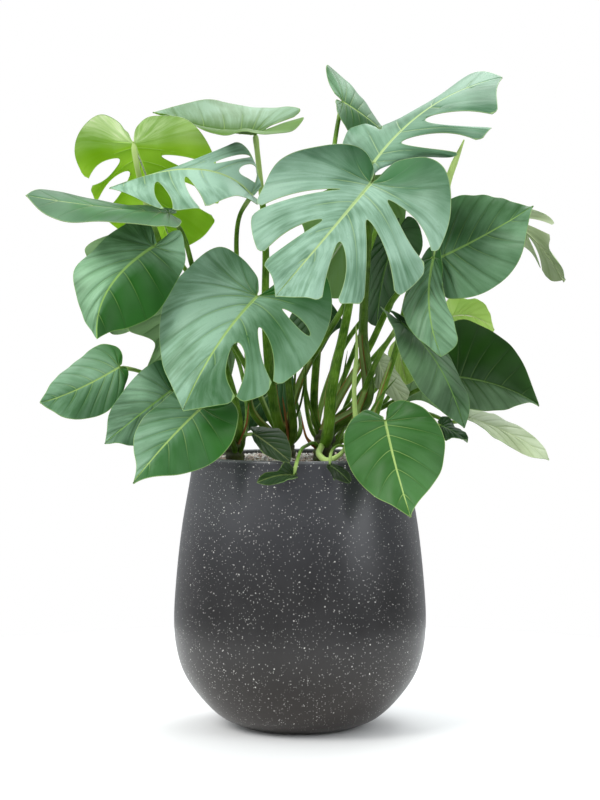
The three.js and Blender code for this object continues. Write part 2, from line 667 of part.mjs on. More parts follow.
// A function that gives the place of any point of one half of a blade: share runs along the
// outline from the notch (0) to the tip (1), and reach runs from the midrib (0) to the margin (1).
function halfSurface(leaf, side) {
  const midrib = leaf.midrib.map(vector);
  const midribAt = (along) => through([0, 0.5, 1], midrib, along);
  const lobes = leaf.lobes ?? 1;
  const guideAlong = GUIDE_ALONG.map((along) => (along < 0 ? lobes * along : along));
  const spans = leaf[side].map((guide, i) =>
    vector(guide)
      .sub(midribAt(guideAlong[i]))
      .divideScalar(GUIDE_OUT[i]),
  );
  const forward = midrib[2].clone().sub(midrib[0]);
  const up = forward.cross(spans[1]).normalize();
  if (side === "right") up.negate();
  const cup = CUP_SHARE * spans[1].length();
  const veins = leaf.veins ?? VEIN_START_POWER;
  const shifts = (leaf[`${side}Shift`] ?? [[0, 0], [0, 0]]).map(([x, z]) => new THREE.Vector2(x, z));
  const marginShift = new THREE.SplineCurve(shifts);
  return (share, reach) => {
    const start = Math.max(0, (share - LOBE_SHARE) / (1 - LOBE_SHARE)) ** veins;
    const end = outline.getPoint(share);
    const shift = marginShift.getPoint(share);
    if (end.x < 0) end.x *= lobes;
    const along = start + (end.x - start) * reach ** VEIN_SWEEP_POWER;
    const out = end.y * reach;
    return midribAt(along)
      .addScaledVector(through(guideAlong, spans, along), out)
      .addScaledVector(up, 4 * cup * out * (1 - out))
      .addScaledVector(vector([shift.x, 0, shift.y]), reach ** SHIFT_POWER);
  };
}

// Half of a split's width at a reach.
function halfGap(split, reach) {
  if (!split) return 0;
  const [, from, belly, mouth, to = 1] = split;
  const part = (reach - from) / (to - from);
  if (part <= 0 || (to < 1 && part >= 1)) return 0;
  return (belly * Math.sin(Math.PI * part) + mouth * part) / 2;
}

// A sheet of triangles whose corners are shared wherever they fall on one point.
class Sheet {
  points = [];
  faces = [];
  known = new Map();

  corner(point) {
    const key = point.toArray().map((v) => v.toFixed(3)).join(" ");
    if (!this.known.has(key)) {
      this.known.set(key, this.points.length);
      this.points.push(point);
    }
    return this.known.get(key);
  }

  face(a, b, c) {
    if (a !== b && b !== c && c !== a) this.faces.push([a, b, c]);
  }

  quad(a, b, c, d) {
    this.face(a, b, c);
    this.face(a, c, d);
  }

  // The upward direction at each corner, from the faces round it.
  normals() {
    const sums = this.points.map(() => new THREE.Vector3());
    for (const [a, b, c] of this.faces) {
      const ab = this.points[b].clone().sub(this.points[a]);
      const ac = this.points[c].clone().sub(this.points[a]);
      const normal = ab.cross(ac);
      for (const i of [a, b, c]) sums[i].add(normal);
    }
    return sums.map((sum) => sum.normalize());
  }

  // Both faces of a slab of even thickness, and the wall round every edge and hole.
  slab(thickness) {
    const normals = this.normals();
    const shift = (sign) =>
      this.points.flatMap((point, i) =>
        point.clone().addScaledVector(normals[i], (sign * thickness) / 2).toArray(),
      );
    const under = this.points.length;
    const index = [];
    const edges = new Set();
    for (const [a, b, c] of this.faces) {
      index.push(a, b, c, c + under, b + under, a + under);
      for (const [from, to] of [[a, b], [b, c], [c, a]]) edges.add(`${from} ${to}`);
    }
    for (const edge of edges) {
      const [from, to] = edge.split(" ").map(Number);
      if (edges.has(`${to} ${from}`)) continue;
      index.push(to, from, from + under, to, from + under, to + under);
    }
    const geometry = new THREE.BufferGeometry();
    geometry.setAttribute("position", new THREE.Float32BufferAttribute([...shift(1), ...shift(-1)], 3));
    geometry.setIndex(index);
    return geometry;
  }
}

// Where the blade's columns of corners lie along the outline: evenly, and at every split.
function columnShares(count, splits) {
  const places = splits.map(([at]) => at);
  const even = Array.from({ length: count + 1 }, (_, i) => i / count);
  const free = even.filter((share) => places.every((at) => Math.abs(share - at) > 0.4 / count));
  return [...new Set([...free, ...places])].sort((a, b) => a - b);
}

// How far out the rows of corners lie: evenly, or where a closed hole starts, is widest and ends.
function rowReaches(count, splits) {
  const hole = splits.find(([, , , , to = 1]) => to < 1);
  if (!hole) return Array.from({ length: count + 1 }, (_, row) => row / count);
  const [, from, , , to] = hole;
  return [0, from, (from + to) / 2, to, 1];
}

function bladeGeometry(leaf) {
  const size = vector(leaf.midrib[0]).distanceTo(vector(leaf.midrib[2]));
  const columnCount = size > LARGE_BLADE && !leaf.joined ? 13 : 8;
  const rowCount = size > MIDDLING_BLADE && !leaf.joined ? 3 : 2;
  const allSplits = [...(leaf.leftSplits ?? []), ...(leaf.rightSplits ?? [])];
  const columns = columnShares(columnCount, allSplits);
  const rows = rowReaches(rowCount, allSplits);
  const sheet = new Sheet();
  for (const side of ["left", "right"]) {
    const surface = halfSurface(leaf, side);
    const splits = leaf[`${side}Splits`] ?? [];
    const bounds = [0, ...splits.map(([at]) => at), 1];
    for (let finger = 0; finger < bounds.length - 1; finger++) {
      const [low, high] = [bounds[finger], bounds[finger + 1]];
      const mine = columns.filter((share) => share >= low && share <= high);
      const grid = mine.map((share) =>
        rows.map((reach) => {
          const from = low + halfGap(splits[finger - 1], reach);
          const to = high - halfGap(splits[finger], reach);
          const place = from + ((share - low) / (high - low)) * (to - from);
          return sheet.corner(surface(place, reach));
        }),
      );
      for (let i = 0; i < grid.length - 1; i++) {
        for (let row = 0; row < rows.length - 1; row++) {
          const ring = [grid[i][row], grid[i + 1][row], grid[i + 1][row + 1], grid[i][row + 1]];
          if (side === "right") ring.reverse();
          sheet.quad(...ring);
        }
      }
    }
  }
  return sheet.slab(BLADE_THICKNESS);
}

// A thick patch round a blade's base, which trims the stalk so that it ends just under the blade.
function basePatch(leaf) {
  const sheet = new Sheet();
  const midrib = leaf.midrib.map(vector);
  const [left, right] = ["left", "right"].map((side) => {
    const wide = vector(leaf[side][1]);
    return wide.sub(through([0, 0.5, 1], midrib, GUIDE_ALONG[1])).normalize();
  });
  const grid = [-TRIM_REACH, 0, TRIM_REACH].map((along) => {
    const length = midrib[0].distanceTo(midrib[2]);
    const middle = through([0, 0.5, 1], midrib, along / length);
    return [
      middle.clone().addScaledVector(left, TRIM_REACH),
      middle,
      middle.clone().addScaledVector(right, TRIM_REACH),
    ].map((point) => sheet.corner(point));
  });
  for (const i of [0, 1]) {
    for (const j of [0, 1]) sheet.quad(grid[i][j + 1], grid[i + 1][j + 1], grid[i + 1][j], grid[i][j]);
  }
  return sheet.slab(BLADE_THICKNESS + 2 * STALK_GAP);
}

// A round rod along a smooth path through points, thick at its start and thin at its end.
function rod(points, startRadius, endRadius) {
  const path = new THREE.CatmullRomCurve3(points);
  const steps = Math.max(4, Math.round(path.getLength() / STALK_STEP));
  const ring = Array.from({ length: STALK_SIDES }, (_, i) => {
    const angle = (2 * Math.PI * i) / STALK_SIDES;
    return new THREE.Vector2(startRadius * Math.cos(angle), startRadius * Math.sin(angle));
  });
  const geometry = new THREE.ExtrudeGeometry(new THREE.Shape(ring), {
    steps,
    bevelEnabled: false,
    extrudePath: path,
  });
  const centres = path.getSpacedPoints(steps);
  const position = geometry.getAttribute("position");
  const corner = new THREE.Vector3();
  for (let i = 0; i < position.count; i++) {
    corner.fromBufferAttribute(position, i);
    const distances = centres.map((centre) => centre.distanceTo(corner));
    const step = distances.indexOf(Math.min(...distances));
    const radius = startRadius + ((endRadius - startRadius) * step) / steps;
    corner.sub(centres[step]).multiplyScalar(radius / startRadius).add(centres[step]);
    position.setXYZ(i, corner.x, corner.y, corner.z);
  }
  return geometry;
}

// A stalk grows out of its crown in a direction, and then runs through its points.
function stalkSolid(crownName, height, direction, points, startRadius, endRadius) {
  const crown = CROWNS[crownName];
  const angle = THREE.MathUtils.degToRad(direction);
  const outwards = new THREE.Vector3(Math.cos(angle), Math.sin(angle), 1);
  const start = crownAxis(crown, height);
  const exit = start.clone().addScaledVector(outwards, STALK_EXIT);
  const whole = solidOf(rod([start, exit, ...points.map(vector)], startRadius, endRadius));
  return largestBody(whole.subtract(solidOf(crownGeometry(crown, GAP))));
}

function leafStalk(leaf) {
  const [crownName, height, direction, points, startRadius, endRadius] = leaf.stalk;
  return stalkSolid(crownName, height, direction, [...points, leaf.midrib[0]], startRadius, endRadius);
}

const group = new THREE.Group();

function add(name, geometry, colour, roughness) {
  const material = new THREE.MeshStandardMaterial({ color: colour, roughness, metalness: 0 });
  const mesh = new THREE.Mesh(geometry, material);
  mesh.name = name;
  group.add(mesh);
}

add("planter", planterGeometry(), COLOURS.pot, 0.6);
add("potting_soil", soilGeometry(), COLOURS.soil, 0.95);

let gravel = solidOf(gravelGeometry());
for (const [name, crown] of Object.entries(CROWNS)) {
  const geometry = crownGeometry(crown, 0);
  add(`crown_${name}`, geometry, COLOURS.crown, 0.7);
  gravel = gravel.subtract(solidOf(crownGeometry(crown, GAP)));
}
add("gravel_top_dressing", geometryOf(gravel), COLOURS.gravel, 0.9);

for (const [name, leaf] of Object.entries(LEAVES)) {
  const blade = bladeGeometry(leaf);
  const stalk = leafStalk(leaf);
  if (leaf.joined) {
    const whole = largestBody(solidOf(blade).add(stalk));
    add(`leaf_${name}`, geometryOf(whole), COLOURS[leaf.tone], 0.4);
    continue;
  }
  add(`blade_${name}`, blade, COLOURS[leaf.tone], 0.4);
  const trimmed = largestBody(stalk.subtract(solidOf(basePatch(leaf))));
  add(`petiole_${name}`, geometryOf(trimmed), COLOURS.stalk, 0.5);
}

const spear = stalkSolid("back", 30, 45, SPEAR_POINTS, SPEAR_RADIUS, SPEAR_TIP_RADIUS);
add("rolled_new_leaf", geometryOf(spear), COLOURS.young, 0.45);

export default group;
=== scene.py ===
# A swiss cheese plant in a round-bellied speckled pot: its looks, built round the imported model.
# Lengths are millimetres up to add_piece(), which makes metres of them.
import math
import random

import bpy
import numpy as np
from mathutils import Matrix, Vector


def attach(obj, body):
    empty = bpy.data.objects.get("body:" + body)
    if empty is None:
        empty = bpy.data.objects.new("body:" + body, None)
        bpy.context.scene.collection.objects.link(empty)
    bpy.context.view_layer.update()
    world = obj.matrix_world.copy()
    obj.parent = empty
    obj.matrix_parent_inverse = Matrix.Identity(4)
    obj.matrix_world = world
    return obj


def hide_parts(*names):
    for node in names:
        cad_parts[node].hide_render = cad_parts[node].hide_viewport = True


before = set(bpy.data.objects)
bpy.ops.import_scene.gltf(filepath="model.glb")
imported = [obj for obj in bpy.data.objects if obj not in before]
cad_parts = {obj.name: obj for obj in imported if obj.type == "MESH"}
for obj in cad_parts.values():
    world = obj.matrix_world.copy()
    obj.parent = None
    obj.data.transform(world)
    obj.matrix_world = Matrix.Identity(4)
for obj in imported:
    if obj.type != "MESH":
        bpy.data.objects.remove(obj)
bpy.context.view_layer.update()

# The pot, the soil and the stems' crowns, as in the model.
POT_HEIGHT = 434
POT_WALL = 7
POT_INSIDE_FLOOR = 10
SOIL_TOP = 418
GRAVEL_TOP = 427
CROWN_HEIGHT = 58
CROWN_RADIUS = 15
STALK_EXIT = 22
POT_WALL_POINTS = [
    [92, 0], [128, 17], [162, 50], [187, 88], [199, 130],
    [202, 172], [198, 240], [189, 320], [177, 390], [171, 428],
]
CROWNS = {
    "centre": {"at": [35, -50], "lean": [0.05, -0.1]},
    "right": {"at": [85, -85], "lean": [0.15, -0.05]},
    "left": {"at": [-100, -45], "lean": [-0.15, -0.1]},
    "middle": {"at": [-20, 10], "lean": [-0.1, 0]},
    "back": {"at": [40, 75], "lean": [0.1, 0.1]},
}

# One half of a leaf blade laid flat, from the notch to the tip, as in the model: how far along the
# midrib and how far out, as shares of the midrib's length and of the half's greatest width.
HALF_OUTLINE = [
    [-0.04, 0.03], [-0.2, 0.12], [-0.27, 0.38], [-0.21, 0.72], [-0.05, 0.95],
    [0.18, 1], [0.45, 0.87], [0.68, 0.6], [0.87, 0.26], [1, 0],
]
GUIDE_ALONG = [-0.27, 0.18, 0.68]
GUIDE_OUT = [0.38, 1, 0.6]
LOBE_SHARE = 0.4
VEIN_START_POWER = 1.8
VEIN_SWEEP_POWER = 1.35
SHIFT_POWER = 1.3
CUP_SHARE = 0.07

# Where the side veins of an unsplit half part from each other along its outline.
VEIN_BOUNDS = [0.17, 0.32, 0.45, 0.56, 0.66, 0.76, 0.86]
VEIN_SPLIT_GAP = 0.07
BLADE_THICKNESS = 0.9
SPACING = 5.0
SPACING_SMALL = 6.0
ROUND_CORNER = 0.022
HANGING_EDGE = 0.06

# How far up a stalk its sheath reaches, as a share of its length.
SHEATH_SHARE = 0.42
SHEATH_SHARE_SMALL = 0.3

LEAVES = {}


def leaf_row(name, tone, midrib, left, right, stalk, **more):
    LEAVES[name] = {"tone": tone, "midrib": midrib, "left": left, "right": right, "stalk": stalk, **more}


# The leaves, as in the model: tone; base, middle and tip of the midrib; guide points of the lobe, the
# widest place and the shoulder of the left and the right half; the stalk, with its crown, the height
# and direction of its start, points on its way, and its radius at both ends. Some have more: how far
# their margin is shifted in X and Z at ten places from the notch to the tip, and splits, each with
# where it opens, how far out it starts, its width half way and at the margin, and where a closed hole
# ends. The model has no shifts on right_lowest, whose real outline only the looks follow.
leaf_row(
    "front_centre", "pale",
    [[110, -110, 860], [40, -190, 775], [-35, -240, 685]],
    [[190, -115, 900], [195, -185, 735], [65, -235, 675]],
    [[90, -95, 910], [-60, -115, 855], [-60, -180, 745]],
    ["centre", 30, 290, [[50, -85, 540], [75, -75, 665], [100, -80, 815]], 9, 4.5],
    left_shift=[0, 0, -8, -2, -15, -6, -5, -2, 1, -1, 7, 7, 13, -2, 0, -7, 0, -6, -1, -3],
    right_shift=[0, 0, -5, -8, -2, 1, -4, 2, -6, 2, 1, -6, -4, -3, 0, -8, 2, 1, -1, -3],
    left_splits=[[0.567, 0.3, 0.045, 0.03], [0.703, 0.28, 0.02, 0.065], [0.815, 0.3, 0.03, 0.042]],
    right_splits=[[0.622, 0.24, 0.015, 0.013], [0.78, 0.28, 0.028, 0.03]],
    veins=2.4)
leaf_row(
    "centre_left", "fresh",
    [[-65, -140, 685], [-125, -190, 610], [-175, -215, 515]],
    [[6, -100, 724], [43, -140, 635], [-56, -190, 536]],
    [[-78, -105, 743], [-203, -125, 683], [-206, -175, 578]],
    ["middle", 25, 300, [[-15, -45, 525], [-30, -70, 610], [-55, -115, 665]], 7, 4],
    left_shift=[0, 0, -1, -1, 1, 3, 1, 2, 0, -3, -2, -1, 3, 6, -3, -4, 1, 0, 0, -3],
    right_shift=[0, 0, -12, -2, -9, -5, 6, 4, 6, -1, -5, 1, 0, 0, 0, -1, -1, 2, 0, -3],
    left_splits=[[0.612, 0.42, 0.034, 0, 0.86], [0.748, 0.42, 0.03, 0.004], [0.842, 0.36, 0.055, 0.003]],
    veins=3.5)
leaf_row(
    "left", "deep",
    [[-220, -185, 760], [-285, -225, 695], [-300, -250, 620]],
    [[-172, -155, 781], [-191, -165, 694], [-256, -200, 639]],
    [[-222, -155, 795], [-333, -200, 720], [-323, -225, 650]],
    ["left", 35, 230, [[-130, -80, 510], [-165, -82, 635], [-195, -85, 690], [-212, -120, 735]], 6, 3.5],
    left_shift=[0, 0, -20, -1, -13, 3, 5, -1, 9, -1, -3, 3, -4, -2, 1, -1, 5, 3, 0, 0],
    right_shift=[0, 0, -27, 2, -19, 6, 9, -1, 11, -3, -6, 1, -1, 2, 2, -1, 2, -2, 0, 0])
leaf_row(
    "front_right_low", "fresh",
    [[130, -150, 495], [145, -205, 425], [165, -240, 355]],
    [[160, -140, 520], [220, -165, 450], [195, -205, 390]],
    [[105, -140, 505], [65, -175, 460], [110, -205, 395]],
    ["right", 15, 290, [[108, -122, 476]], 5, 3.5],
    left_shift=[0, 0, 0, -2, -3, 3, -4, 9, -2, 8, 1, 6, 2, 2, 1, 5, -2, 5, -1, 1],
    right_shift=[0, 0, -2, -11, -7, 2, -10, 13, -3, 4, 5, -21, 6, -25, 0, -12, -6, 4, -1, 1])
leaf_row(
    "left_low", "fresh",
    [[-150, -150, 515], [-200, -195, 465], [-250, -225, 405]],
    [[-105, -150, 525], [-120, -185, 440], [-175, -210, 415]],
    [[-145, -130, 550], [-245, -165, 490], [-250, -190, 455]],
    ["left", 12, 265, [[-115, -95, 475], [-132, -125, 508]], 5, 3.5],
    left_shift=[0, 0, 0, -2, 0, -3, 1, -3, 1, -5, -3, 0, -7, 3, -12, -1, -7, 0, 1, -1],
    right_shift=[0, 0, 0, -1, -8, -2, -9, -6, 2, -1, 8, 11, 5, 6, 0, -9, 0, -9, 1, -1])
leaf_row(
    "left_low_back", "deep",
    [[-200, -85, 540], [-245, -125, 505], [-300, -145, 460]],
    [[-165, -85, 530], [-210, -125, 480], [-260, -145, 455]],
    [[-205, -65, 570], [-265, -80, 550], [-295, -115, 505]],
    ["left", 20, 195, [[-160, -50, 500]], 4.5, 3],
    left_shift=[0, 0, -1, -5, -7, -7, -13, -5, -13, -9, -6, -13, 1, -9, 1, 0, 0, 5, 1, -1],
    right_shift=[0, 0, 1, 2, 8, 5, 11, 7, 9, 5, 1, 4, -1, -1, 0, -5, 4, -5, 1, -1],
    joined=True)
leaf_row(
    "far_left_low", "fresh",
    [[-285, -45, 575], [-350, -65, 540], [-405, -85, 520]],
    [[-270, -50, 565], [-305, -80, 510], [-365, -95, 500]],
    [[-285, -15, 605], [-345, -5, 605], [-385, -45, 555]],
    ["left", 12, 160, [[-200, -15, 540], [-255, -25, 568]], 4.5, 3],
    left_shift=[0, 0, -10, -12, -3, -15, 8, -8, 1, -8, -14, -12, -12, -10, 0, -5, 6, 1, -1, 1],
    right_shift=[0, 0, -15, 0, -12, 1, 1, -1, -3, -13, -14, -23, -13, -17, -3, -5, 4, 4, -1, 1],
    joined=True)
leaf_row(
    "backlit", "backlit",
    [[-255, -130, 920], [-225, -75, 835], [-200, -20, 760]],
    [[-308, -150, 959], [-334, -60, 858], [-273, -20, 778]],
    [[-218, -140, 965], [-128, -55, 872], [-142, -20, 786]],
    ["left", 42, 100,
     [[-110, -25, 520], [-150, -40, 620], [-210, -65, 745], [-238, -100, 830], [-250, -128, 885]], 7, 4],
    left_shift=[0, 0, 4, -8, 3, -2, -1, 1, -5, 2, 5, -2, -3, 0, 1, 0, 0, 0, 3, -1],
    right_shift=[0, 0, 6, -10, 1, -8, -2, 4, -3, 3, 3, 0, -1, -4, 0, 2, 1, 0, 3, -1],
    left_splits=[[0.54, 0.38, 0.05, 0.025], [0.63, 0.3, 0.045, 0.05]],
    right_splits=[[0.545, 0.33, 0.035, 0.05], [0.667, 0.45, 0.05, 0.05]])
leaf_row(
    "far_left", "pale",
    [[-200, -150, 810], [-310, -190, 820], [-410, -200, 835]],
    [[-180, -185, 800], [-240, -255, 795], [-350, -265, 795]],
    [[-190, -125, 820], [-245, -125, 825], [-350, -140, 840]],
    ["left", 35, 300, [[-100, -85, 520], [-130, -75, 620], [-165, -92, 725], [-180, -120, 780]], 6, 3.5],
    left_shift=[0, 0, 0, -7, 0, -10, -2, -11, -13, -4, -10, -5, 3, -5, 1, -7, 3, -6, -1, 1],
    right_shift=[0, 0, -1, -1, -2, -5, -3, -10, -11, -9, -8, 0, -1, -1, 1, -3, 0, 2, -1, 1],
    lobes=0.3)
leaf_row(
    "top_left", "pale",
    [[-70, -60, 940], [-150, -70, 950], [-230, -60, 975]],
    [[-9, -95, 943], [-89, -140, 930], [-154, -92, 942]],
    [[-13, -30, 966], [-77, 20, 990], [-151, -10, 992]],
    ["middle", 42, 240, [[-45, -10, 530], [-55, -5, 650], [-55, -5, 775], [-65, -15, 890]], 8, 4],
    left_shift=[0, 0, 2, 12, 13, 15, -3, -9, -7, -6, 0, 6, 6, 0, -2, -2, -4, 2, 0, -1],
    right_shift=[0, 0, 2, 13, 12, 7, -4, -3, -7, -5, 5, 1, 0, 2, -1, 1, -1, -4, 0, -1],
    right_splits=[[0.16, 0.55, 0.02, 0.06]])
leaf_row(
    "upper_left", "pale",
    [[-75, -85, 843], [-160, -140, 879], [-290, -160, 849]],
    [[-69, -90, 826], [-127, -180, 826], [-212, -195, 813]],
    [[-62, -60, 844], [-78, -45, 917], [-149, -112, 893]],
    ["middle", 25, 160, [[-78, 15, 505], [-85, 0, 620], [-100, -30, 745], [-95, -60, 810]], 6, 3.5],
    left_shift=[0, 0, 0, 5, 1, -3, 3, -2, -1, 4, -3, -1, 5, 0, -2, -1, 0, 2, 0, 0],
    right_shift=[0, 0, 1, 19, 1, 11, 0, -1, 0, -4, -1, -7, 0, 9, 1, -4, -1, -4, 0, 0],
    left_splits=[[0.6, 0.2, 0.03, 0.03], [0.74, 0.25, 0.04, 0.03]],
    right_splits=[[0.42, 0.22, 0.05, 0, 0.93], [0.53, 0.22, 0.05, 0, 0.93]],
    lobes=0.5, veins=0.5)
leaf_row(
    "top_right", "pale",
    [[115, -60, 895], [210, 0, 990], [325, 40, 1040]],
    [[71, 0, 886], [108, 60, 960], [222, 100, 1010]],
    [[118, -60, 864], [251, -90, 907], [308, -60, 971]],
    ["centre", 40, 40, [[105, -40, 520], [100, -30, 630], [108, -15, 775], [112, -35, 865]], 10, 4.5],
    left_shift=[0, 0, 3, -3, 0, 4, -2, -6, 2, 1, 2, 9, -3, -8, -1, -6, 5, 13, 1, 1],
    right_shift=[0, 0, 0, 4, 2, 11, 1, 0, 1, -6, -6, -4, 5, 10, 1, -3, -5, -6, 1, 1],
    left_splits=[[0.6, 0.45, 0.02, 0.03]],
    right_splits=[[0.6, 0.2, 0.05, 0.07], [0.74, 0.2, 0.05, 0.08]])
leaf_row(
    "top_centre", "fresh",
    [[70, 115, 1010], [110, 125, 985], [145, 165, 960]],
    [[42, 155, 1052], [83, 175, 1045], [112, 185, 1004]],
    [[53, 100, 1006], [79, 92, 961], [107, 118, 955]],
    ["back", 40, 215, [[22, 50, 520], [35, 60, 680], [48, 80, 860], [60, 105, 960]], 6, 3.5],
    left_shift=[0, 0, 3, -2, 1, -5, -3, 5, 1, -3, 1, 1, -1, 2, 1, -1, 0, 0, 1, 5],
    right_shift=[0, 0, 4, -3, 4, -3, -2, 0, -3, 3, 0, -2, 2, 0, 0, 1, -3, 0, 1, 5])
leaf_row(
    "right", "deep",
    [[215, -100, 745], [285, -120, 780], [360, -110, 825]],
    [[200, -50, 770], [290, -60, 845], [330, -80, 830]],
    [[195, -105, 700], [295, -135, 695], [345, -145, 760]],
    ["centre", 18, 100, [[60, -15, 520], [110, -5, 605], [150, -20, 685], [200, -75, 730]], 7, 4],
    left_shift=[0, 0, 14, 35, 18, 28, 5, 19, -10, 8, -17, 0, -16, 0, -10, 2, -5, 1, -1, 0],
    right_shift=[0, 0, 21, 1, 24, 2, 8, 3, 5, 7, -4, 0, -6, -7, -4, -6, -4, -5, -1, 0])
leaf_row(
    "far_right", "dark",
    [[285, 20, 820], [360, 0, 790], [420, -20, 710]],
    [[269, 50, 782], [350, 30, 771], [383, 0, 728]],
    [[246, 0, 820], [367, -20, 827], [401, -30, 765]],
    ["back", 42, 345, [[110, 65, 530], [185, 45, 650], [255, 5, 770]], 6, 3.5],
    left_shift=[0, 0, -1, -1, 4, 1, 3, 0, -8, -2, 1, -1, 3, 2, 0, 0, -4, -2, 2, 4],
    right_shift=[0, 0, 0, 0, 3, -1, 2, -1, -4, 1, -2, 0, 10, -1, -9, -1, 4, 2, 2, 4],
    left_splits=[[0.8, 0.3, 0.04, 0.02]],
    right_splits=[[0.7, 0.15, 0.04, 0.06]])
leaf_row(
    "right_centre", "deep",
    [[205, -130, 745], [195, -180, 670], [210, -200, 600]],
    [[221, -120, 750], [219, -170, 681], [238, -190, 630]],
    [[195, -110, 748], [157, -150, 671], [175, -185, 624]],
    ["right", 40, 30, [[130, -72, 540], [152, -75, 610], [168, -85, 690], [185, -105, 728]], 6, 3.5],
    left_shift=[0, 0, -2, -4, -4, -7, -1, 0, 2, 5, 2, -2, -4, -2, -3, 1, 7, 1, 2, -7],
    right_shift=[0, 0, -4, -3, -7, -8, 1, 2, 5, 5, -1, -2, -2, -2, 0, 0, 1, 2, 2, -7])
leaf_row(
    "right_low", "dark",
    [[155, -120, 645], [210, -170, 580], [250, -160, 485]],
    [[139, -100, 661], [221, -130, 598], [252, -150, 544]],
    [[122, -120, 662], [151, -190, 604], [179, -200, 541]],
    ["right", 40, 110, [[98, -62, 530], [122, -75, 590]], 6, 3.5],
    left_shift=[0, 0, 6, 1, 3, 0, -3, 0, -1, 0, 5, -1, -4, 2, -2, -1, 4, -1, 1, -1],
    right_shift=[0, 0, 0, 2, 0, 5, 1, -1, -1, -1, -2, -1, 2, 1, 0, -1, -3, -1, 1, -1])
leaf_row(
    "right_dark", "dark",
    [[245, -60, 560], [315, -70, 545], [375, -70, 515]],
    [[218, -20, 608], [298, -20, 634], [345, -50, 589]],
    [[222, -80, 534], [290, -100, 508], [336, -95, 513]],
    ["back", 30, 315, [[125, 30, 505], [205, -5, 545]], 5, 3.5],
    left_shift=[0, 0, 3, 7, 4, 7, -1, -2, -1, -2, 1, 1, 0, 2, 0, -1, -2, 0, 0, 1],
    right_shift=[0, 0, 5, -9, 5, -9, -1, 2, -3, 6, 0, 0, 2, -4, 0, 0, -2, 4, 0, 1])
leaf_row(
    "young_pale", "young",
    [[245, 30, 655], [280, 40, 655], [315, 40, 635]],
    [[245, 40, 675], [275, 50, 680], [305, 50, 670]],
    [[250, 30, 635], [270, 30, 625], [300, 30, 625]],
    ["back", 20, 20, [[110, 100, 520], [190, 80, 600], [228, 50, 648]], 4, 2.5],
    left_shift=[0, 0, -1, 8, -8, 6, -9, -11, 0, -10, 11, 4, 9, 4, 1, -7, -4, -9, -1, -3],
    right_shift=[0, 0, -1, 0, -5, 0, -11, 1, -2, 1, 11, -1, 9, -2, -1, -2, -5, -3, -1, -3],
    joined=True)
leaf_row(
    "right_lowest", "young",
    [[265, -60, 495], [330, -90, 470], [385, -110, 435]],
    [[275, -10, 505], [315, -30, 495], [360, -70, 465]],
    [[265, -100, 485], [300, -120, 470], [350, -130, 440]],
    ["back", 8, 335, [[115, 50, 470], [195, 10, 500], [240, -40, 488]], 4.5, 3],
    left_shift=[0, 0, -1, 1, -6, -2, -10, -8, -3, -10, 9, -3, 9, 3, 3, 0, -1, -1, 1, -3],
    right_shift=[0, 0, 2, 0, -1, 4, -3, 9, 3, 4, 15, -11, 13, -13, 3, -5, -2, 3, 1, -3],
    lobes=0.4, joined=True)
leaf_row(
    "right_small", "dark",
    [[220, -90, 485], [240, -105, 475], [260, -110, 460]],
    [[220, -75, 495], [240, -80, 485], [255, -95, 475]],
    [[215, -100, 475], [230, -120, 465], [245, -120, 465]],
    ["right", 20, 340, [[150, -92, 472], [190, -88, 490]], 3.5, 2.5],
    joined=True)
leaf_row(
    "rim_left", "fresh",
    [[-70, -150, 475], [-40, -175, 455], [-15, -190, 435]],
    [[-65, -130, 485], [-25, -150, 470], [-15, -170, 450]],
    [[-75, -150, 465], [-65, -175, 445], [-35, -190, 435]],
    ["left", 10, 300, [[-85, -110, 470]], 3.5, 2.5],
    left_shift=[0, 0, 0, 0, 0, -2, 0, -1, -1, 3, 4, 2, 3, 1, 1, 0, 0, -1, 0, -1],
    right_shift=[0, 0, 5, -3, 5, -1, 1, 7, 8, 3, 16, -3, 15, -4, 5, 0, -1, 0, 0, -1],
    joined=True)
leaf_row(
    "rim_front", "deep",
    [[-10, -195, 415], [-35, -210, 415], [-65, -215, 405]],
    [[-5, -200, 410], [-30, -215, 405], [-50, -215, 400]],
    [[-10, -190, 425], [-30, -205, 425], [-50, -210, 420]],
    ["centre", 15, 240, [[10, -120, 455], [0, -170, 448]], 3, 2.5],
    joined=True)
leaf_row(
    "rim_dark", "dark",
    [[45, -190, 430], [60, -205, 420], [75, -210, 405]],
    [[50, -185, 430], [65, -195, 425], [75, -205, 415]],
    [[45, -190, 420], [50, -205, 410], [65, -210, 405]],
    ["right", 10, 230, [[58, -140, 456], [47, -174, 447]], 3, 2],
    joined=True)
leaf_row(
    "crumpled", "dark",
    [[125, -20, 585], [140, -35, 555], [170, -45, 525]],
    [[135, 0, 595], [155, -10, 565], [170, -25, 540]],
    [[120, -25, 575], [125, -50, 540], [150, -55, 520]],
    ["centre", 12, 20, [[88, -12, 520], [115, -8, 560]], 3.5, 2.5],
    joined=True)
leaf_row(
    "back_pale", "young",
    [[160, 40, 610], [165, 35, 580], [172, 28, 545]],
    [[170, 50, 615], [185, 45, 580], [185, 35, 555]],
    [[150, 30, 615], [145, 20, 580], [160, 20, 550]],
    ["back", 35, 270, [[110, 45, 540]], 3.5, 2.5],
    joined=True)
leaf_row(
    "back_olive", "dark",
    [[160, 90, 795], [135, 70, 715], [125, 40, 640]],
    [[195, 80, 805], [170, 60, 730], [155, 50, 680]],
    [[140, 100, 800], [110, 95, 725], [110, 70, 665]],
    ["back", 35, 100, [[75, 130, 560], [125, 125, 690]], 5, 3.5],
    joined=True)
leaf_row(
    "back_centre", "dark",
    [[28, 112, 680], [18, 98, 632], [3, 75, 579]],
    [[53, 112, 675], [58, 105, 632], [33, 85, 594]],
    [[8, 120, 684], [-17, 118, 632], [-17, 100, 594]],
    ["back", 25, 165, [[8, 112, 550], [18, 138, 640]], 4, 3],
    joined=True)
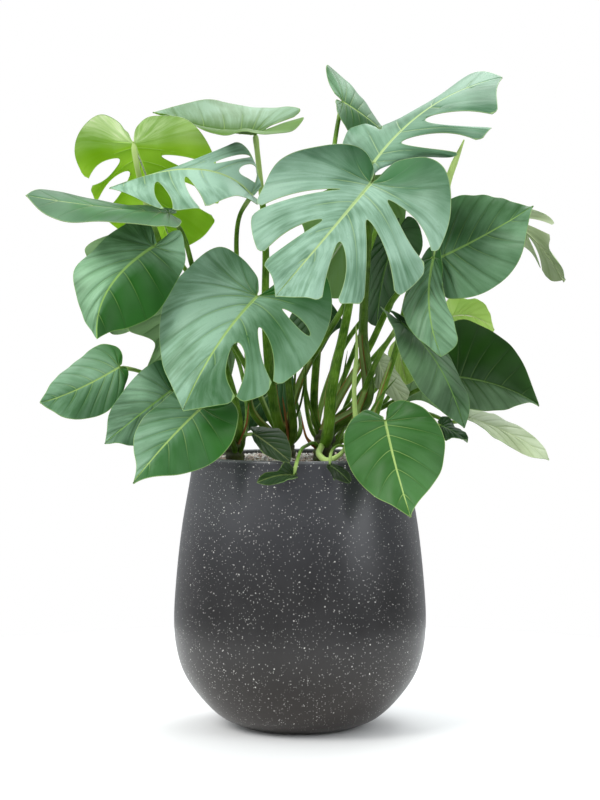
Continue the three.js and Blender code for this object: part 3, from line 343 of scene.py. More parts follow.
leaf_row(
    "back_low", "deep",
    [[-25, 90, 560], [-60, 70, 520], [-100, 40, 475]],
    [[-10, 80, 530], [-40, 60, 485], [-80, 50, 470]],
    [[-40, 100, 570], [-90, 90, 545], [-110, 60, 505]],
    ["middle", 25, 20, [[-5, 85, 510]], 4, 3],
    joined=True)
leaf_row(
    "back_left", "fresh",
    [[-180, 42, 682], [-205, 18, 615], [-225, -8, 545]],
    [[-226, 22, 682], [-242, 8, 620], [-242, -3, 580]],
    [[-140, 58, 680], [-145, 42, 610], [-185, 15, 560]],
    ["left", 25, 145, [[-135, 0, 520], [-170, 22, 610]], 5, 3],
    joined=True)
leaf_row(
    "back_high", "pale",
    [[140, 110, 865], [75, 130, 785], [25, 120, 705]],
    [[85, 115, 880], [5, 130, 805], [-15, 125, 740]],
    [[175, 115, 825], [140, 130, 750], [85, 125, 695]],
    ["middle", 42, 75, [[5, 25, 560], [75, 25, 680], [125, 55, 800]], 6, 3.5],
    joined=True)
leaf_row(
    "back_right_low", "deep",
    [[200, 110, 605], [245, 150, 550], [295, 160, 490]],
    [[165, 120, 570], [190, 160, 515], [245, 165, 490]],
    [[230, 110, 630], [300, 140, 590], [320, 155, 530]],
    ["back", 8, 50, [[110, 110, 480], [165, 100, 550]], 4.5, 3],
    joined=True)
leaf_row(
    "back_left_low", "deep",
    [[-125, 110, 630], [-175, 150, 575], [-215, 160, 515]],
    [[-165, 110, 650], [-230, 140, 615], [-240, 155, 555]],
    [[-105, 120, 600], [-125, 150, 545], [-180, 160, 510]],
    ["left", 18, 60, [[-85, 30, 500], [-100, 80, 580]], 4.5, 3],
    joined=True)
leaf_row(
    "back_upper_left", "fresh",
    [[-220, 50, 780], [-280, 85, 710], [-315, 95, 635]],
    [[-260, 50, 800], [-345, 80, 745], [-350, 90, 680]],
    [[-195, 60, 745], [-220, 90, 665], [-280, 95, 630]],
    ["middle", 42, 150, [[-80, 50, 560], [-150, 40, 680]], 5, 3.5],
    joined=True)
leaf_row(
    "back_upper_right", "deep",
    [[255, 90, 785], [300, 125, 755], [335, 130, 715]],
    [[235, 100, 765], [255, 130, 720], [290, 135, 705]],
    [[280, 90, 815], [345, 115, 800], [355, 125, 755]],
    ["back", 15, 130, [[70, 160, 600], [170, 120, 720]], 5, 3.5],
    joined=True)

SPEAR_POINTS = [[100, 95, 560], [180, 60, 665], [225, 20, 800], [235, -10, 870], [260, -20, 935]]

# How each leaf differs from its tone: lightness, partly its own tone and partly painted light and
# shade, hue (0.5 is none, less is yellower), depth of the quilting between its veins in mm, how far
# its margin waves in mm, and how much of the pale sheen, a painted reflection, lies on its left half
# near the notch and near the tip, and on its right half in the same places.
LOOKS = {
    "front_centre": (1.0, 0.508, 1.4, 1.5, (-0.3, 1.0, -0.05, 1.05)),
    "centre_left": (1.03, 0.508, 2.0, 1.5, (-0.6, 0.5, 0.3, 1.25)),
    "left": (1.25, 0.5, 2.0, 1.5, (1.9, -0.15, 1.3, 0.75)),
    "front_right_low": (1.08, 0.495, 2.0, 1.0, (0.05, 0.08, 0.15, 0.05)),
    "left_low": (0.96, 0.505, 1.8, 1.0, (-0.5, 0.1, 0.3, 0.6)),
    "left_low_back": (0.88, 0.51, 1.0, 1.0, (0.1, 0.6, -0.4, 1.0)),
    "far_left_low": (0.98, 0.505, 1.4, 1.0, (-0.1, 0.55, -0.1, 0.6)),
    "backlit": (1.16, 0.5, 0.8, 1.2, (1.6, -0.6, 1.6, -0.6)),
    "far_left": (0.97, 0.495, 1.0, 1.2, (0.0, 0.2, 0.1, 0.35)),
    "top_left": (0.9, 0.497, 0.5, 1.0, (-1.0, -1.0, 1.0, 1.0)),
    "upper_left": (1.08, 0.505, 0.6, 1.0, (1.0, 1.0, 1.0, 1.0)),
    "top_right": (0.95, 0.508, 0.8, 1.0, (0.65, 0.45, 0.75, 0.4)),
    "top_centre": (0.95, 0.5, 0.6, 0.8, (0.5, 0.4, 0.4, 0.3)),
    "right": (1.0, 0.5, 2.2, 1.5, (0.1, 0.25, 0.3, 0.5)),
    "far_right": (1.25, 0.5, 1.0, 1.2, (0.4, 0.4, 0.6, 0.4)),
    "right_centre": (0.95, 0.5, 1.4, 1.2, (-0.3, 0.75, -0.2, 0.65)),
    "right_low": (1.1, 0.5, 0.8, 1.0, (0.2, 0.45, 0.2, 0.45)),
    "right_dark": (0.95, 0.49, 0.8, 1.2, (-0.2, 0.0, 0.2, 0.45)),
    "young_pale": (1.1, 0.5, 0.8, 0.6, (0.3, 0.0, 0.3, 0.0)),
    "right_lowest": (1.15, 0.5, 1.0, 0.8, (0.4, 0.4, 0.2, 0.2)),
    "rim_left": (0.28, 0.48, 0.8, 0.8, (0.0, 0.1, 0.0, 0.1)),
    "rim_front": (0.4, 0.48, 0.8, 0.8, (0.0, 0.1, 0.0, 0.0)),
    "rim_dark": (0.4, 0.48, 0.8, 0.8, (0.0, 0.0, 0.0, 0.0)),
}
PLAIN_LOOK = (0.9, 0.5, 1.2, 1.2, (0.2, 0.2, 0.2, 0.2))

# How light a stalk is, which paints the light and shade it stands in, and how far along it turns
# pale. Above 1 it doesn't.
STALK_LOOKS = {
    "front_centre": (1.3, 1.1),
    "top_right": (0.65, 1.1),
    "backlit": (1.1, 0.7),
    "top_left": (1.15, 0.75),
    "right": (1.15, 1.1),
    "right_centre": (1.2, 1.1),
    "centre_left": (0.85, 1.1),
}
PLAIN_STALK = (1.0, 1.1)

# Small growth at the foot: new shoots, a creeping stem and dried sheaths. Each has its points from
# its foot to its tip, its radius at its foot, how light it is, and whether it is a dried strip.
SHOOTS = {
    "shoot_pale": ([(88, -96, 468), (84, -98, 545), (88, -94, 600), (87, -92, 642)], 4.2, 1.5, False),
    "creeping_stem": (
        [(34, -62, 452), (30, -108, 440), (44, -134, 433), (64, -128, 444), (74, -108, 466)],
        5.5, 1.5, False),
    "shoot_front": ([(28, -58, 470), (14, -66, 520), (4, -62, 572)], 2.4, 0.7, False),
    "shoot_left": ([(-22, -2, 470), (-12, -20, 520), (-6, -34, 580), (0, -42, 630)], 2.2, 0.7, False),
    "shoot_middle": ([(-16, 6, 470), (2, -8, 520), (12, -18, 600)], 2.0, 0.75, False),
    "shoot_right": ([(94, -84, 470), (118, -96, 520), (150, -104, 560)], 2.4, 1.0, False),
    "shoot_far_left": ([(-108, -52, 470), (-122, -70, 510), (-128, -90, 545)], 2.4, 0.7, False),
    "shoot_back": ([(48, 82, 470), (66, 88, 530), (78, 80, 600)], 2.4, 0.8, False),
    "dry_sheath_left": ([(-18, -6, 458), (-22, -24, 490), (-28, -30, 528)], 5.5, 1.0, True),
    "dry_sheath_front": ([(42, -66, 460), (52, -84, 520), (60, -86, 560), (64, -84, 596)], 4.0, 1.1, True),
    "dry_sheath_low": ([(24, -62, 450), (10, -84, 466), (2, -92, 500)], 5.0, 0.9, True),
    "dry_sheath_right": ([(78, -98, 452), (98, -118, 446), (112, -136, 434)], 3.4, 0.9, True),
    "dry_sheath_far_left": ([(-96, -58, 455), (-84, -76, 486), (-80, -84, 520)], 4.5, 0.9, True),
    "dry_sheath_back": ([(34, 86, 458), (22, 98, 492), (18, 100, 530)], 4.5, 0.9, True),
}
PALE_SHOOT_LIGHTNESS = 1.2

# Each tone: two colours of the upper face, two of the underside, the ribs and the pale sheen, which is
# a painted reflection of the bright room, then how matte it is and how much light it lets through.
# The backlit tone's bright yellow-green and near-white colours are painted light shining through
# the leaf from behind.
TONES = {
    "pale": ((44, 92, 48), (66, 114, 66), (92, 132, 52), (124, 162, 80),
             (180, 202, 140), (156, 190, 166), 0.42, 0.0),
    "fresh": ((38, 86, 28), (60, 110, 48), (104, 138, 88), (132, 162, 112),
              (164, 192, 116), (148, 184, 156), 0.42, 0.0),
    "deep": ((24, 66, 14), (44, 94, 36), (84, 116, 68), (112, 142, 92),
             (134, 170, 94), (138, 176, 142), 0.42, 0.0),
    "dark": ((14, 50, 4), (34, 78, 20), (76, 100, 72), (100, 124, 94),
             (96, 132, 70), (122, 154, 120), 0.45, 0.0),
    "olive": ((126, 144, 100), (164, 178, 138), (126, 144, 100), (164, 178, 138),
              (182, 194, 152), (200, 210, 186), 0.5, 0.0),
    "grass": ((66, 104, 26), (90, 130, 48), (66, 104, 26), (90, 130, 48),
              (144, 176, 92), (146, 176, 148), 0.5, 0.0),
    "backlit": ((148, 190, 50), (184, 216, 94), (146, 190, 48), (184, 216, 94),
                (212, 232, 150), (244, 250, 226), 0.5, 0.4),
    "young": ((182, 216, 108), (210, 236, 146), (180, 214, 110), (210, 234, 148),
              (224, 238, 170), (218, 232, 184), 0.45, 0.35),
}
UNDERSIDE_ROUGHNESS = 0.58

# The leaves whose visible face differs from their tone.
FACES = {"far_right": "olive", "right_lowest": "olive", "crumpled": "olive", "top_left": "grass"}

# The white chips in the pot: cells per metre, and the smallest and the largest chip as shares of one.
CHIP_LAYERS = ((330, -0.06, 0.22), (230, -0.03, 0.19), (130, -0.05, 0.16), (75, -0.12, 0.1))

# The granules: how far apart, how far out, and how many are of each colour.
STONE_GAP = 5.6
STONE_ROW_GAP = 0.87
GRAVEL_RADIUS = 158
STONE_COLOURS = {
    "white": ((196, 190, 184), (226, 222, 216), 0.4),
    "rose": ((172, 142, 128), (204, 176, 162), 0.25),
    "grey": ((128, 126, 124), (166, 164, 160), 0.2),
    "brown": ((98, 80, 66), (142, 120, 102), 0.15),
}

FLOOR_RADIUS = 1100

# Each lamp, in metres: its place, what it aims at, its size, its watts and its colour.
LAMPS = {
    "key": ((-2.0, -1.9, 2.6), (0, 0, 0.7), 1.3, 58, (1.0, 0.99, 0.97)),
    "top_back": ((0.6, 1.2, 2.8), (0, 0, 0.75), 1.8, 34, (0.95, 0.98, 1.0)),
    "side": ((2.35, -1.45, 1.2), (0, 0, 0.5), 1.5, 20, (0.93, 0.96, 1.0)),
}

# The camera that fits the photo: in metres, in millimetres of focal length and in degrees.
CAMERA_PLACE = (0, -3.3, 0.635)
CAMERA_LENS = 92.81
CAMERA_DIP = 1.97


def node(tree, kind, inputs=None, **settings):
    """A new node with its settings, and with a value or a link on each named input."""
    made = tree.nodes.new("ShaderNode" + kind)
    for key, value in settings.items():
        setattr(made, key, value)
    for key, value in (inputs or {}).items():
        if isinstance(value, bpy.types.NodeSocket):
            tree.links.new(value, made.inputs[key])
        else:
            made.inputs[key].default_value = value
    return made


def calc(tree, operation, a, b, clamp=False):
    """The result of a sum on two numbers."""
    return node(tree, "Math", {0: a, 1: b}, operation=operation, use_clamp=clamp).outputs[0]


def ramp(tree, value, low, high, to_low=0.0, to_high=1.0):
    """A number that eases from one value to another while the input runs from low to high."""
    inputs = {"Value": value, 1: low, 2: high, 3: to_low, 4: to_high}
    return node(tree, "MapRange", inputs, interpolation_type="SMOOTHSTEP").outputs[0]


def blend(tree, share, a, b):
    """A mix of two colours."""
    return node(tree, "Mix", {0: share, 6: a, 7: b}, data_type="RGBA").outputs[2]


def noise(tree, vector, scale, detail=2.0, roughness=0.5):
    inputs = {"Vector": vector, "Scale": scale, "Detail": detail, "Roughness": roughness}
    return node(tree, "TexNoise", inputs).outputs[0]


def shade(r, g, b):
    """A colour from its usual 0 to 255 values."""
    return tuple(((v / 255 + 0.055) / 1.055) ** 2.4 if v > 10 else v / 3295 for v in (r, g, b)) + (1.0,)


def new_material(name):
    material = bpy.data.materials.new(name)
    material.use_nodes = True
    tree = material.node_tree
    tree.nodes.clear()
    return material, tree, node(tree, "TexCoord").outputs["Object"]


def finish_material(tree, colour, roughness, height, depth, through=0.0, gloss=0.5):
    """The shader: colour, roughness, and bumps of a depth in mm. through lets light pass."""
    bump = node(tree, "Bump", {"Height": height, "Strength": 0.9, "Distance": depth * 0.001})
    inputs = {"Base Color": colour, "Roughness": roughness, "Normal": bump.outputs[0]}
    surface = node(tree, "BsdfPrincipled", {**inputs, "Specular IOR Level": gloss}).outputs[0]
    if through:
        glow = node(tree, "BsdfTranslucent", {"Color": colour, "Normal": bump.outputs[0]})
        surface = node(tree, "MixShader", {0: through, 1: surface, 2: glow.outputs[0]}).outputs[0]
    node(tree, "OutputMaterial", {"Surface": surface})


def uv_pair(tree, name):
    split = node(tree, "SeparateXYZ", {0: node(tree, "UVMap", uv_map=name).outputs[0]})
    return split.outputs[0], split.outputs[1]


def leaf_material(name, dark, light, vein, painted_sheen, roughness, under, through, line):
    """A leaf face: soft blotches, fine streaks along the side veins, a painted pale sheen that stands for
    the bright room's reflection, painted shade beside the side veins, pale ribs and a pale margin.
    The ribs map holds distances to the midrib and to a side vein, in widths of the rib there."""
    material, tree, place = new_material(name)
    midrib, side_vein = uv_pair(tree, "ribs")
    margin, reach = uv_pair(tree, "place")
    lightness, hue = uv_pair(tree, "tint")
    painted_sheen_amount = uv_pair(tree, "painted_sheen")[0]
    blotches = noise(tree, place, 11, 2, 0.5)
    grain = node(tree, "UVMap", uv_map="grain").outputs[0]
    streaks = noise(tree, grain, 1.0, 3, 0.6)
    speckle = noise(tree, place, 350, 2, 0.6)
    colour = blend(tree, ramp(tree, blotches, 0.25, 0.75), dark, light)
    colour = blend(tree, ramp(tree, streaks, 0.5, 0.85, 0, 0.3), colour, light)
    uneven = ramp(tree, blotches, 0.35, 0.65, 0.5, 1.15)
    uneven = calc(tree, "ADD", uneven, ramp(tree, streaks, 0.35, 0.7, -0.2, 0.15))
    painted_sheen_amount = calc(tree, "MULTIPLY", painted_sheen_amount, uneven, clamp=True)
    # Painted reflection: the pale sheen of the bright room, laid into the colour.
    colour = blend(tree, painted_sheen_amount, colour, painted_sheen)
    colour = blend(tree, ramp(tree, speckle, 0.55, 0.8, 0, 0.15), colour, dark)
    # Painted shade: darker beside the side veins, where the grooves lie in shade.
    colour = blend(tree, ramp(tree, side_vein, 1.2, 7.0, 0.32, 0.0), colour, dark)
    side_line = ramp(tree, side_vein, 0.4, 1.5, line * 0.45, 0.0)
    side_line = calc(tree, "MULTIPLY", side_line, ramp(tree, reach, 0.15, 0.8, 1.0, 0.12))
    colour = blend(tree, side_line, colour, vein)
    colour = blend(tree, ramp(tree, midrib, 0.6, 1.2, line, 0.0), colour, vein)
    colour = blend(tree, ramp(tree, margin, 0.2, 1.4, line * 0.65, 0.0), colour, vein)
    inputs = {"Hue": hue, "Saturation": 1.05, "Value": lightness, "Color": colour}
    tinted = node(tree, "HueSaturation", inputs).outputs[0]
    rough = ramp(tree, streaks, 0.3, 0.7, roughness - 0.04, roughness + 0.05)
    groove = ramp(tree, side_vein, 0.2, 1.8, float(under), 1.0 - float(under))
    height = calc(tree, "ADD", calc(tree, "MULTIPLY", groove, 0.6), calc(tree, "MULTIPLY", streaks, 0.5))
    height = calc(tree, "ADD", height, calc(tree, "MULTIPLY", speckle, 0.1))
    finish_material(tree, tinted, rough, height, 0.3, through, 0.2)
    return material


def plain_material(name, dark, light, roughness, scale, depth):
    """Soil, stone and the like: two mixed colours and a rough surface."""
    material, tree, place = new_material(name)
    patches = noise(tree, place, scale, 4, 0.65)
    fine = noise(tree, place, scale * 6, 3, 0.7)
    colour = blend(tree, ramp(tree, patches, 0.35, 0.65), shade(*dark), shade(*light))
    rough = ramp(tree, fine, 0.3, 0.7, roughness - 0.08, roughness + 0.05)
    finish_material(tree, colour, rough, fine, depth)
    return material


def pot_material():
    """Charcoal, satin, browner below, paler above as a painted reflection, with a painted highlight on
    the lip and white chips.
    """
    material, tree, place = new_material("speckled_charcoal")
    clouds = noise(tree, place, 8, 4, 0.6)
    fine = noise(tree, place, 420, 2, 0.6)
    colour = blend(tree, ramp(tree, clouds, 0.3, 0.7), shade(27, 26, 27), shade(41, 40, 41))
    height = node(tree, "SeparateXYZ", {0: place}).outputs[2]
    colour = blend(tree, ramp(tree, height, 0.0, 0.2, 0.85, 0.0), colour, shade(31, 21, 12))
    # Painted reflection: the upper wall paler and bluer, as if the bright room shone on it.
    colour = blend(tree, ramp(tree, height, 0.2, 0.42, 0.0, 0.7), colour, shade(60, 61, 66))
    # Painted highlight: a pale band on the lip's top, where the light falls.
    colour = blend(tree, ramp(tree, height, 0.4285, 0.4325, 0.0, 0.7), colour, shade(112, 114, 116))
    ragged = node(tree, "TexNoise", {"Vector": place, "Scale": 700.0}).outputs["Color"]
    warp = node(tree, "VectorMath", {0: ragged, 1: (0.0011,) * 3, 2: place}, operation="MULTIPLY_ADD")
    chips = 0.0
    for scale, small, large in CHIP_LAYERS:
        cells = node(tree, "TexVoronoi", {"Vector": warp.outputs[0], "Scale": scale}, feature="F1")
        chosen = node(tree, "SeparateColor", {0: cells.outputs["Color"]})
        size = ramp(tree, chosen.outputs[0], 0.15, 1.0, small, large)
        chip = ramp(tree, calc(tree, "SUBTRACT", size, cells.outputs["Distance"]), 0.0, 0.03)
        bright = ramp(tree, chosen.outputs[1], 0.0, 1.0, 0.45, 1.0)
        chips = calc(tree, "MAXIMUM", chips, calc(tree, "MULTIPLY", chip, bright))
    colour = blend(tree, chips, colour, shade(226, 224, 218))
    rough = calc(tree, "ADD", ramp(tree, clouds, 0.3, 0.7, 0.25, 0.32), calc(tree, "MULTIPLY", fine, 0.06))
    finish_material(tree, colour, rough, fine, 0.06)
    return material


def stalk_material():
    """Smooth green with fine lengthwise lines, paler ends, a painted highlight along the sheath's
    inner face, brown dry edges on the sheath, and a lightness per stalk that paints its light and shade.
    """
    material, tree, place = new_material("stalk_skin")
    along, around = uv_pair(tree, "along")
    dryness, paleness = uv_pair(tree, "dryness_pallor_and_highlight")
    lightness = uv_pair(tree, "tint")[0]
    stretched = {0: calc(tree, "MULTIPLY", along, 2.5), 1: calc(tree, "MULTIPLY", around, 34)}
    lines = noise(tree, node(tree, "CombineXYZ", stretched).outputs[0], 1.0, 3, 0.6)
    blotches = noise(tree, place, 40, 3, 0.6)
    colour = blend(tree, ramp(tree, blotches, 0.3, 0.7), shade(54, 92, 10), shade(100, 140, 40))
    colour = blend(tree, ramp(tree, lines, 0.45, 0.75, 0, 0.45), colour, shade(150, 180, 92))
    # Paler at the knee, near the blade and on pale shoots, and a painted highlight along the sheath.
    colour = blend(tree, paleness, colour, shade(176, 200, 122))
    torn = ramp(tree, calc(tree, "ADD", dryness, calc(tree, "MULTIPLY", blotches, 0.6)), 0.75, 1.05)
    colour = blend(tree, torn, colour, blend(tree, lines, shade(120, 70, 32), shade(190, 132, 82)))
    # Painted light and shade: each stalk lighter or darker by how lit it stands.
    tinted = node(tree, "HueSaturation", {"Value": lightness, "Color": colour})
    rough = ramp(tree, torn, 0.0, 1.0, 0.36, 0.75)
    finish_material(tree, tinted.outputs[0], rough, lines, 0.3, 0.0, 0.15)
    return material


def add_piece(name, corners, faces, materials, which=None, maps=None, replaces=()):
    """A piece of the object from corners in mm. maps holds a pair of numbers for each face corner."""
    mesh = bpy.data.meshes.new(name)
    mesh.from_pydata((np.asarray(corners) * 0.001).tolist(), [], faces)
    for material in materials:
        mesh.materials.append(material)
    if which is not None:
        mesh.polygons.foreach_set("material_index", which)
    mesh.polygons.foreach_set("use_smooth", [True] * len(mesh.polygons))
    for map_name, pairs in (maps or {}).items():
        mesh.uv_layers.new(name=map_name).data.foreach_set("uv", np.asarray(pairs, float).ravel())
    piece = bpy.data.objects.new(name, mesh)
    bpy.context.scene.collection.objects.link(piece)
    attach(piece, "root")
    if replaces:
        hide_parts(*replaces)


def ring_faces(rings, sides):
    """The four-sided faces between rings of corners."""
    faces = []
    for low in range(0, (rings - 1) * sides, sides):
        for i in range(sides):
            j = (i + 1) % sides
            faces.append([low + i, low + j, low + sides + j, low + sides + i])
    return faces


def lathe(profile, sides):
    """Corners and faces of a profile of radius and height turned round the Z axis."""
    angles = np.arange(sides) * 2 * math.pi / sides
    ring = np.stack([np.cos(angles), np.sin(angles)], axis=1)
    corners = [[r * x, r * y, z] for r, z in np.array(profile, float) for x, y in ring]
    return np.array(corners), ring_faces(len(profile), sides)


def between(p1, p2, m1, m2, t):
    """The cubic curve from p1 to p2 with the slopes m1 and m2."""
    return p1 + m1 * t + (-3 * p1 + 3 * p2 - 2 * m1 - m2) * t**2 + (2 * p1 - 2 * p2 + m1 + m2) * t**3


def smooth_line(points, steps):
    """Points along a centripetal Catmull-Rom curve through the given ones, as in the model."""
    points = np.array(points, float)
    points = np.vstack([2 * points[0] - points[1], points, 2 * points[-1] - points[-2]])
    found = []
    for i in range(1, len(points) - 2):
        p0, p1, p2, p3 = points[i - 1:i + 3]
        d0, d1, d2 = (max(np.linalg.norm(b - a) ** 0.5, 1e-6) for a, b in ((p0, p1), (p1, p2), (p2, p3)))
        m1 = ((p1 - p0) / d0 - (p2 - p0) / (d0 + d1) + (p2 - p1) / d1) * d1
        m2 = ((p2 - p1) / d1 - (p3 - p1) / (d1 + d2) + (p3 - p2) / d2) * d1
        found += [between(p1, p2, m1, m2, t) for t in np.arange(steps) / steps]
    found.append(points[-2])
    return np.array(found)


def even_line(points, gap):
    """The same line with its points a gap apart, and how far along each one lies."""
    lengths = np.concatenate([[0], np.cumsum(np.linalg.norm(np.diff(points, axis=0), axis=1))])
    count = max(8, int(round(lengths[-1] / gap)))
    at = np.linspace(0, lengths[-1], count + 1)
    return np.stack([np.interp(at, lengths, points[:, k]) for k in range(3)], axis=1), at / lengths[-1]


def curve(points, share):
    """The places at shares of the way along a smooth curve through the points, as in the model."""
    points = np.array(points, float)
    last = len(points) - 1
    place = np.clip(share, 0, 1) * last
    i = np.minimum(place.astype(int), last)
    p0, p1, p2, p3 = (points[np.clip(i + k, 0, last)] for k in (-1, 0, 1, 2))
    return between(p1, p2, (p2 - p0) / 2, (p3 - p1) / 2, (place - i)[..., None])


def through_points(places, vectors, place):
    """Lagrange interpolation of three vectors given at three places."""
    total = 0
    for i in range(3):
        weight = 1
        for j in range(3):
            if j != i:
                weight = weight * (place - places[j]) / (places[i] - places[j])
        total = total + np.asarray(weight)[..., None] * vectors[i]
    return total


class Half:
    """One half of a leaf blade."""

    def __init__(self, leaf, side):
        self.midrib = np.array(leaf["midrib"], float)
        self.lobes = leaf.get("lobes", 1)
        self.along = [a * self.lobes if a < 0 else a for a in GUIDE_ALONG]
        self.spans = [(np.array(guide, float) - self.on_midrib(a)) / out
                      for guide, a, out in zip(leaf[side], self.along, GUIDE_OUT)]
        up = np.cross(self.midrib[2] - self.midrib[0], self.spans[1])
        self.up = up / np.linalg.norm(up) * (1 if side == "left" else -1)
        self.width = np.linalg.norm(self.spans[1])
        self.start_power = leaf.get("veins", VEIN_START_POWER)
        self.shift = np.reshape(leaf.get(side + "_shift", [0, 0, 0, 0]), (-1, 2))
        self.splits = leaf.get(side + "_splits", [])
        bounds = [s[0] for s in self.splits]
        free = [b for b in VEIN_BOUNDS if all(abs(b - s) > VEIN_SPLIT_GAP for s in bounds)]
        self.vein_bounds = np.array([0.03] + sorted(bounds + free) + [0.97])
        self.veins = (self.vein_bounds[1:] + self.vein_bounds[:-1]) / 2

    def on_midrib(self, along):
        return through_points([0, 0.5, 1], self.midrib, np.asarray(along, float))

    def start(self, share):
        """Where on the midrib the vein to a share of the outline starts."""
        return np.maximum(0, (share - LOBE_SHARE) / (1 - LOBE_SHARE)) ** self.start_power

    def point(self, share, reach):
        """The place in space of a share of the outline and a reach from the midrib to it."""
        start = self.start(share)
        end = curve(HALF_OUTLINE, share)
        shift = curve(self.shift, share) * reach[..., None] ** SHIFT_POWER
        shift = np.stack([shift[..., 0], 0 * shift[..., 0], shift[..., 1]], axis=-1)
        end_along = np.where(end[..., 0] < 0, end[..., 0] * self.lobes, end[..., 0])
        along = start + (end_along - start) * reach**VEIN_SWEEP_POWER
        out = end[..., 1] * reach
        arch = 4 * CUP_SHARE * self.width * out * (1 - out)
        return (self.on_midrib(along) + through_points(self.along, self.spans, along) * out[..., None]
                + arch[..., None] * self.up + shift)

    def phase(self, share):
        """0 at a side vein, and half way between two of them 1."""
        count = len(self.vein_bounds)
        return np.abs(np.interp(share, self.vein_bounds, np.arange(count)) % 1 - 0.5) * 2


def half_gap(split, reach):
    """Half of a split's width at each reach, with round ends."""
    if split is None:
        return np.zeros_like(reach)
    start, belly, mouth = split[1:4]
    end = split[4] if len(split) > 4 else 1
    part = np.clip((reach - start) / (end - start), 0, 1)
    width = (belly * np.sin(math.pi * part) + mouth * part) / 2
    if end < 1:
        width = np.where(reach < end, width, 0)
        part = np.minimum(part, 1 - part)
    return width * np.sqrt(1 + 0.4 * (1 - part) ** 3 / (part + 1e-6))


def nearest(points, targets):
    """The distance of each point to the nearest target."""
    found = np.empty(len(points))
    for i in range(0, len(points), 2000):
        gaps = points[i:i + 2000, None, :] - targets[None, :, :]
        found[i:i + 2000] = np.sqrt((gaps**2).sum(axis=2).min(axis=1))
    return found


def even_places(low, high, gap, wanted):
    """Places from low to high, a gap or less apart, and with all the wanted ones among them."""
    count = max(2, math.ceil((high - low) / gap))
    wanted = np.array([w for w in wanted if low <= w <= high] + [low, high])
    spaced = [v for v in np.linspace(low, high, count + 1) if np.abs(wanted - v).min() > gap * 0.3]
    return np.unique(np.round(np.concatenate([wanted, spaced]), 6))


def finger_grid(half, low, high, splits, share, reach):
    """The corners of a finger between two splits, and how far each one hangs down beside a slit."""
    before, after = splits
    from_share = low + half_gap(before, reach)
    to_share = high - half_gap(after, reach)
    place = from_share + (share - low) / (high - low) * (to_share - from_share)
    rounding, hang = np.zeros_like(share), np.zeros_like(share)
    for split, gap in ((before, share - low), (after, high - share)):
        if split is not None and len(split) < 5:
            near = np.clip(1 - gap / ROUND_CORNER, 0, 1)
            rounding = np.maximum(rounding, near**2)
            near = np.clip(1 - gap / HANGING_EDGE, 0, 1)
            hang = np.maximum(hang, near**2 * np.clip((reach - split[1]) / (1 - split[1]), 0, 1))
    return half.point(place, reach * (1 - 0.06 * rounding)).reshape(-1, 3), hang


def painted_sheen_share(painted_sheen, side, share, reach):
    """How much of the painted pale sheen, a painted reflection, lies at a place: its own half's share,
    or both halves' by the midrib.
    """
    lobe, tip = painted_sheen[:2] if side == "left" else painted_sheen[2:]
    shift = np.clip((share - 0.08) / 0.62, 0, 1)
    shift = shift**2 * (3 - 2 * shift)
    own = lobe + (tip - lobe) * shift
    mean = (painted_sheen[0] + painted_sheen[2]) / 2 * (1 - shift) + (painted_sheen[1] + painted_sheen[3]) / 2 * shift
    return np.clip(mean + (own - mean) * np.clip(reach / 0.35, 0, 1), 0, 1)


def half_blade(leaf, side, look, size, spacing, dice):
    """Half a blade's points, its three-sided faces, and what is known at each point: the distances to
    the midrib and to a side vein in widths of the rib, the place for the streaks, the reach, the
    relief, both distances in mm, and how much painted sheen, a painted reflection, lies there."""
    quilt, wave, painted_sheen = look
    half = Half(leaf, side)
    edge = half.point(np.linspace(0, 1, 60), np.ones(60))
    perimeter = np.linalg.norm(np.diff(edge, axis=0), axis=1).sum()
    wanted = [v + k * 1.3 / perimeter for v in half.veins for k in (-1, 0, 1)]
    starts = [s[1] + k for s in half.splits for k in (0, 0.004, 0.015, 0.035)]
    ends = [s[4] - k for s in half.splits if len(s) > 4 for k in (0, 0.004, 0.015, 0.035)]
    rows = even_places(0, 1, spacing / half.width, [0.012, 0.03] + starts + ends)
    bends = [dice.uniform(0, 2 * math.pi) for _ in range(3)]
    vein_lines = half.point(np.repeat(half.veins, len(rows)), np.tile(rows, len(half.veins)))
    rib_line = half.on_midrib(np.linspace(0, 1, 400))
    bounds = [0] + [s[0] for s in half.splits] + [1]
    splits = [None] + half.splits + [None]
    points, faces, known = [], [], []
    count = 0
    for finger in range(len(bounds) - 1):
        low, high = bounds[finger:finger + 2]
        shares = even_places(low, high, spacing / perimeter, wanted)
        share, reach = np.meshgrid(shares, rows, indexing="ij")
        grid, hang = finger_grid(half, low, high, splits[finger:finger + 2], share, reach)
        pillow = 1 - (1 - half.phase(share)) ** 2
        envelope = np.clip(reach / 0.25, 0, 1) * (1 - reach**4)
        ripple = sum(np.sin(share * f + b) for f, b in zip((14, 27, 45), bends)) / 2
        relief = quilt * (pillow - 0.5) * envelope - 0.02 * size * hang + wave * ripple * reach**3
        # Painted reflection: how much of the painted sheen lies at each corner.
        pale = painted_sheen_share(painted_sheen, side, share, reach)
        index = count + np.arange(share.size).reshape(share.shape)
        share, reach = share.ravel(), reach.ravel()
        to_vein, to_rib = nearest(grid, vein_lines), nearest(grid, rib_line)
        rib_width = 0.6 + 0.0105 * size * (1 - half.start(share))
        vein_width = 0.35 + 0.003 * size * (1 - 0.7 * reach)
        across = reach * half.width / 60 + (3 if side == "left" else 0)
        known.append(np.stack([to_rib / rib_width, to_vein / vein_width, share * perimeter / 9, across,
                               reach, relief.ravel(), to_rib, to_vein, pale.ravel()], axis=1))
        points.append(grid)
        a, b = index[:-1, :-1].ravel(), index[1:, :-1].ravel()
        c, d = index[1:, 1:].ravel(), index[:-1, 1:].ravel()
        if side == "right":
            b, d = d, b
        faces += [np.stack([a, b, c], axis=1), np.stack([a, c, d], axis=1)]
        count += share.size
    return np.vstack(points), np.vstack(faces), np.vstack(known)


